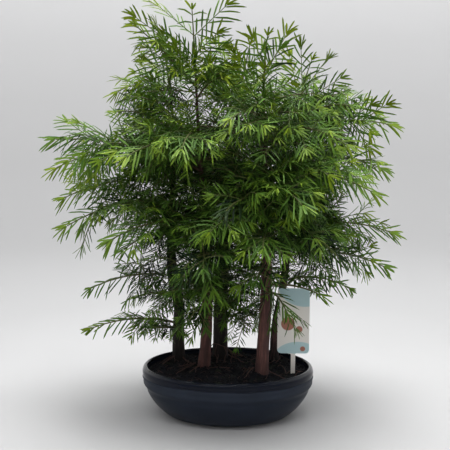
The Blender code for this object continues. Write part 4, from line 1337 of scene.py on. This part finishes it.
class FOREST_OT_roots(bpy.types.Operator):
    """Build the fine roots that arch over the soil, and the fibres that lie on it"""
    bl_idname = "forest.roots"
    bl_label = "Surface roots"

    def execute(self, context):
        settings, soil = context.scene.forest_trunks, context.scene.forest_soil
        rng = np.random.default_rng(23)
        mass = Mass()
        for path in ARCHING_ROOTS:
            line = smooth_line(np.array(path) * MM, 1.2 * MM)
            sway = np.column_stack([value_noise(line, 380, axis + 5) for axis in range(3)]) * 0.5 * MM
            vertices, faces = tube(line + sway, np.linspace(0.6, 0.4, len(line)) * MM, UP, 7)
            mass.add(vertices, faces, groove=0.3)
        names = list(TREES)
        for number in range(settings.root_count):
            tree = TREES[names[number % len(names)]]
            turn = rng.uniform(0, 2 * math.pi)
            out = np.array((math.cos(turn), math.sin(turn)))
            start = np.array(tree["line"][0][:2]) * MM + out * tree["radius"] * MM
            far, thick = rng.uniform(14, 34) * MM, rng.uniform(0.45, 0.8) * MM
            self.lay(mass, start, turn, far, thick, 5 * MM, soil, rng)
        x, y = soil_spots(rng, settings.fibre_count, context.scene.forest_tray, 0.86)
        for start in zip(x, y):
            turn, far = rng.uniform(0, 2 * math.pi), rng.uniform(6, 16) * MM
            self.lay(mass, np.array(start), turn, far, 0.32 * MM, 0, soil, rng)
        mass.piece("surface_roots", [root_finish(settings)], "red_bark")
        return {"FINISHED"}

    def lay(self, mass, start, turn, far, thick, rise, soil, rng):
        """One root that winds over the soil from a starting point, and sinks in at its end."""
        steps = np.linspace(0, 1, 12)
        heading = turn + np.cumsum(rng.normal(0, 0.22, len(steps)))
        spots = start + np.cumsum(np.stack([np.cos(heading), np.sin(heading)], -1), 0) * far / len(steps)
        ground = soil_height(spots[:, 0], spots[:, 1], soil)
        lift = rng.uniform(0, 2.4) * MM * np.sin(math.pi * steps) ** 2
        height = ground + lift + rise * (1 - steps) ** 3 + 0.3 * MM - 1.3 * MM * steps ** 4
        line = np.column_stack([spots, height])
        reach = np.hypot(line[:, 0] / (TRAY_HIGH[0] - 8 * MM), line[:, 1] / (TRAY_HIGH[1] - 8 * MM))
        line = line[reach < 0.97]
        if len(line) > 5:
            line = smooth_line(line, 2 * MM)
            vertices, faces = tube(line, np.linspace(thick, 0.6 * thick, len(line)), UP, 5)
            mass.add(vertices, faces, groove=rng.uniform(0.2, 0.8))


# Label


def round_corner(x, z, radius, first):
    """Points of a quarter turn round a corner, from an angle in degrees on."""
    turns = [math.radians(degrees) for degrees in range(first, first + 91, 10)]
    return [(x + radius * math.cos(turn), z + radius * math.sin(turn)) for turn in turns]


def label_outline():
    """The card with its round corners and the pointed stake below it, as (x, z) from the top right on."""
    left, right, top, point = LABEL_LOW[0], LABEL_HIGH[0], LABEL_HIGH[2], LABEL_LOW[2]
    middle, bottom = (left + right) / 2, top - CARD_HEIGHT
    stake = [(STAKE_HALF + 1.5 * MM, bottom), (STAKE_HALF + 0.4 * MM, bottom - 0.5 * MM),
             (STAKE_HALF, bottom - 1.8 * MM), (STAKE_HALF, point + 5 * MM)]
    outline = round_corner(right - CORNER, top - CORNER, CORNER, 0)
    outline += round_corner(left + CORNER, top - CORNER, CORNER, 90)
    outline += round_corner(left + CORNER, bottom + CORNER, CORNER, 180)
    outline += [(middle - x, z) for x, z in stake] + [(middle, point)]
    outline += [(middle + x, z) for x, z in reversed(stake)]
    return outline + round_corner(right - CORNER, bottom + CORNER, CORNER, 270)


class FOREST_OT_label(bpy.types.Operator):
    """Build the plant label on its stake"""
    bl_idname = "forest.label"
    bl_label = "Plant label"

    def execute(self, context):
        back, thick = LABEL_HIGH[1], LABEL_HIGH[1] - LABEL_LOW[1]
        shape = bmesh.new()
        face = shape.faces.new([shape.verts.new((x, back, z)) for x, z in label_outline()])
        moved = bmesh.ops.extrude_face_region(shape, geom=[face])["geom"]
        bmesh.ops.translate(shape, verts=[v for v in moved if isinstance(v, bmesh.types.BMVert)],
                            vec=(0, -thick, 0))
        bmesh.ops.recalc_face_normals(shape, faces=shape.faces)
        edges = [e for e in shape.edges if abs(e.verts[0].co.y - e.verts[1].co.y) < 1e-6 and e.is_manifold]
        bmesh.ops.bevel(shape, geom=edges, offset=0.18 * MM, segments=2, affect="EDGES")
        mesh = bpy.data.meshes.new("label_card")
        shape.to_mesh(mesh)
        shape.free()
        mesh.materials.append(label_finish(context.scene.forest_label))
        mesh.shade_smooth()
        mesh.set_sharp_from_angle(angle=math.radians(30))
        card = show("label_card", mesh)
        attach(card, BODY)
        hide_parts("plant_label")
        return {"FINISHED"}


# Stage


def area_light(name, place, aim, size, energy):
    data = bpy.data.lights.new(name, "AREA")
    data.shape = "RECTANGLE"
    data.size, data.size_y = size
    data.energy = energy
    lamp = show(name, data)
    lamp.location = place
    lamp.rotation_euler = (Vector(aim) - Vector(place)).to_track_quat("-Z", "Y").to_euler()


class FOREST_OT_stage(bpy.types.Operator):
    """Build the pale round sweep, the lights and the camera"""
    bl_idname = "forest.stage"
    bl_label = "Stage"

    def execute(self, context):
        settings = context.scene.forest_stage
        self.build_sweep(settings)
        # One soft light over the forest, and a faint one before it
        area_light("top_light", (0.06, 0.14, 1.85), (0.02, 0.05, 0.15), (1.1, 0.9), 42.5)
        area_light("front_light", (-0.3, -1.9, 1.15), (0, 0, 0.2), (1.1, 0.4), 1.8)
        # Narrow lamps that draw the bright streaks on the glaze
        for place in (-0.75, -0.3, 0.25, 0.6):
            area_light("lamp_%d" % (place * 100), (place, -1.3, 2.3), (0, 0, 0.2), (0.22, 0.016), 3.4)
        # Lights on the paper behind the forest and at its sides
        for turn, power in ((0, 20), (90, 15), (270, 9)):
            out = np.array((math.sin(math.radians(turn)), math.cos(math.radians(turn)), 0))
            area_light("wall_light_%d" % turn, out * 1.3 + UP * 2.7, out * 2.5 + UP * 1.3, (1.4, 0.4), power)
        world = bpy.data.worlds.new("room")
        world.use_nodes = True
        room = world.node_tree.nodes["Background"].inputs
        room["Color"].default_value = (0.97, 0.98, 1.0, 1)
        room["Strength"].default_value = 0.1
        context.scene.world = world
        context.scene.view_settings.view_transform = "Standard"
        data = bpy.data.cameras.new("camera")
        data.sensor_width = 36
        data.lens = data.sensor_width / 2 / math.tan(settings.view / 2)
        camera = show("camera", data)
        camera.location = settings.place
        camera.rotation_euler = (math.pi / 2 - settings.pitch, 0, settings.azimuth)
        context.scene.camera = camera
        return {"FINISHED"}

    def build_sweep(self, settings):
        """Paper that lies flat under the tray and rises all round it, from (radius, height) points."""
        profile = [(SWEEP_FLAT * share, 0.0) for share in (0.0, 0.15, 0.3, 0.45, 0.6, 0.8, 1.0)]
        for turn in np.linspace(0.06, math.pi / 2, 26):
            out, rise = SWEEP_BEND * math.sin(turn), SWEEP_BEND - SWEEP_BEND * math.cos(turn)
            profile.append((SWEEP_FLAT + out, rise))
        profile.append((SWEEP_FLAT + SWEEP_BEND, SWEEP_TOP))
        rings, steps = len(profile) - 1, 96
        vertices = [(r * math.cos(t), r * math.sin(t), z) for r, z in profile[1:] for t in turns_of(steps)]
        faces = []
        for low in range(0, (rings - 1) * steps, steps):
            for j in range(steps):
                after = low + (j + 1) % steps
                faces.append((low + j, low + j + steps, after + steps, after))
        faces.append(tuple(range(steps)))
        mesh = bpy.data.meshes.new("paper_sweep")
        mesh.from_pydata(vertices, [], faces)
        along = run_lengths(np.array(profile))[1:]
        point_values(mesh, "far", np.repeat(along / along[-1], steps))
        mesh.materials.append(paper_finish(settings))
        mesh.shade_smooth()
        show("paper_sweep", mesh)


OPERATORS = (FOREST_OT_tray, FOREST_OT_soil, FOREST_OT_trunks, FOREST_OT_roots, FOREST_OT_foliage,
             FOREST_OT_label, FOREST_OT_stage)
SETTINGS = {"forest_tray": TraySettings, "forest_soil": SoilSettings, "forest_trunks": TrunkSettings,
            "forest_needles": NeedleSettings, "forest_label": LabelSettings, "forest_stage": StageSettings}


class FOREST_PT_panel(bpy.types.Panel):
    """The sizes, colours and steps of the forest planting"""
    bl_label = "Forest"
    bl_idname = "FOREST_PT_panel"
    bl_space_type = "VIEW_3D"
    bl_region_type = "UI"
    bl_category = "Forest"

    def draw(self, context):
        for key, group in SETTINGS.items():
            box = self.layout.box()
            for name in group.__annotations__:
                box.prop(getattr(context.scene, key), name)
        for operator in OPERATORS:
            self.layout.operator(operator.bl_idname)


CLASSES = (*SETTINGS.values(), *OPERATORS, FOREST_PT_panel)


def register():
    for made in CLASSES:
        bpy.utils.register_class(made)
    for key, group in SETTINGS.items():
        setattr(bpy.types.Scene, key, PointerProperty(type=group))


def unregister():
    for key in SETTINGS:
        delattr(bpy.types.Scene, key)
    for made in reversed(CLASSES):
        bpy.utils.unregister_class(made)


def main():
    register()
    bpy.ops.forest.tray()
    bpy.ops.forest.soil()
    bpy.ops.forest.trunks()
    bpy.ops.forest.roots()
    bpy.ops.forest.foliage()
    bpy.ops.forest.label()
    bpy.ops.forest.stage()


if __name__ == "__main__":
    main()
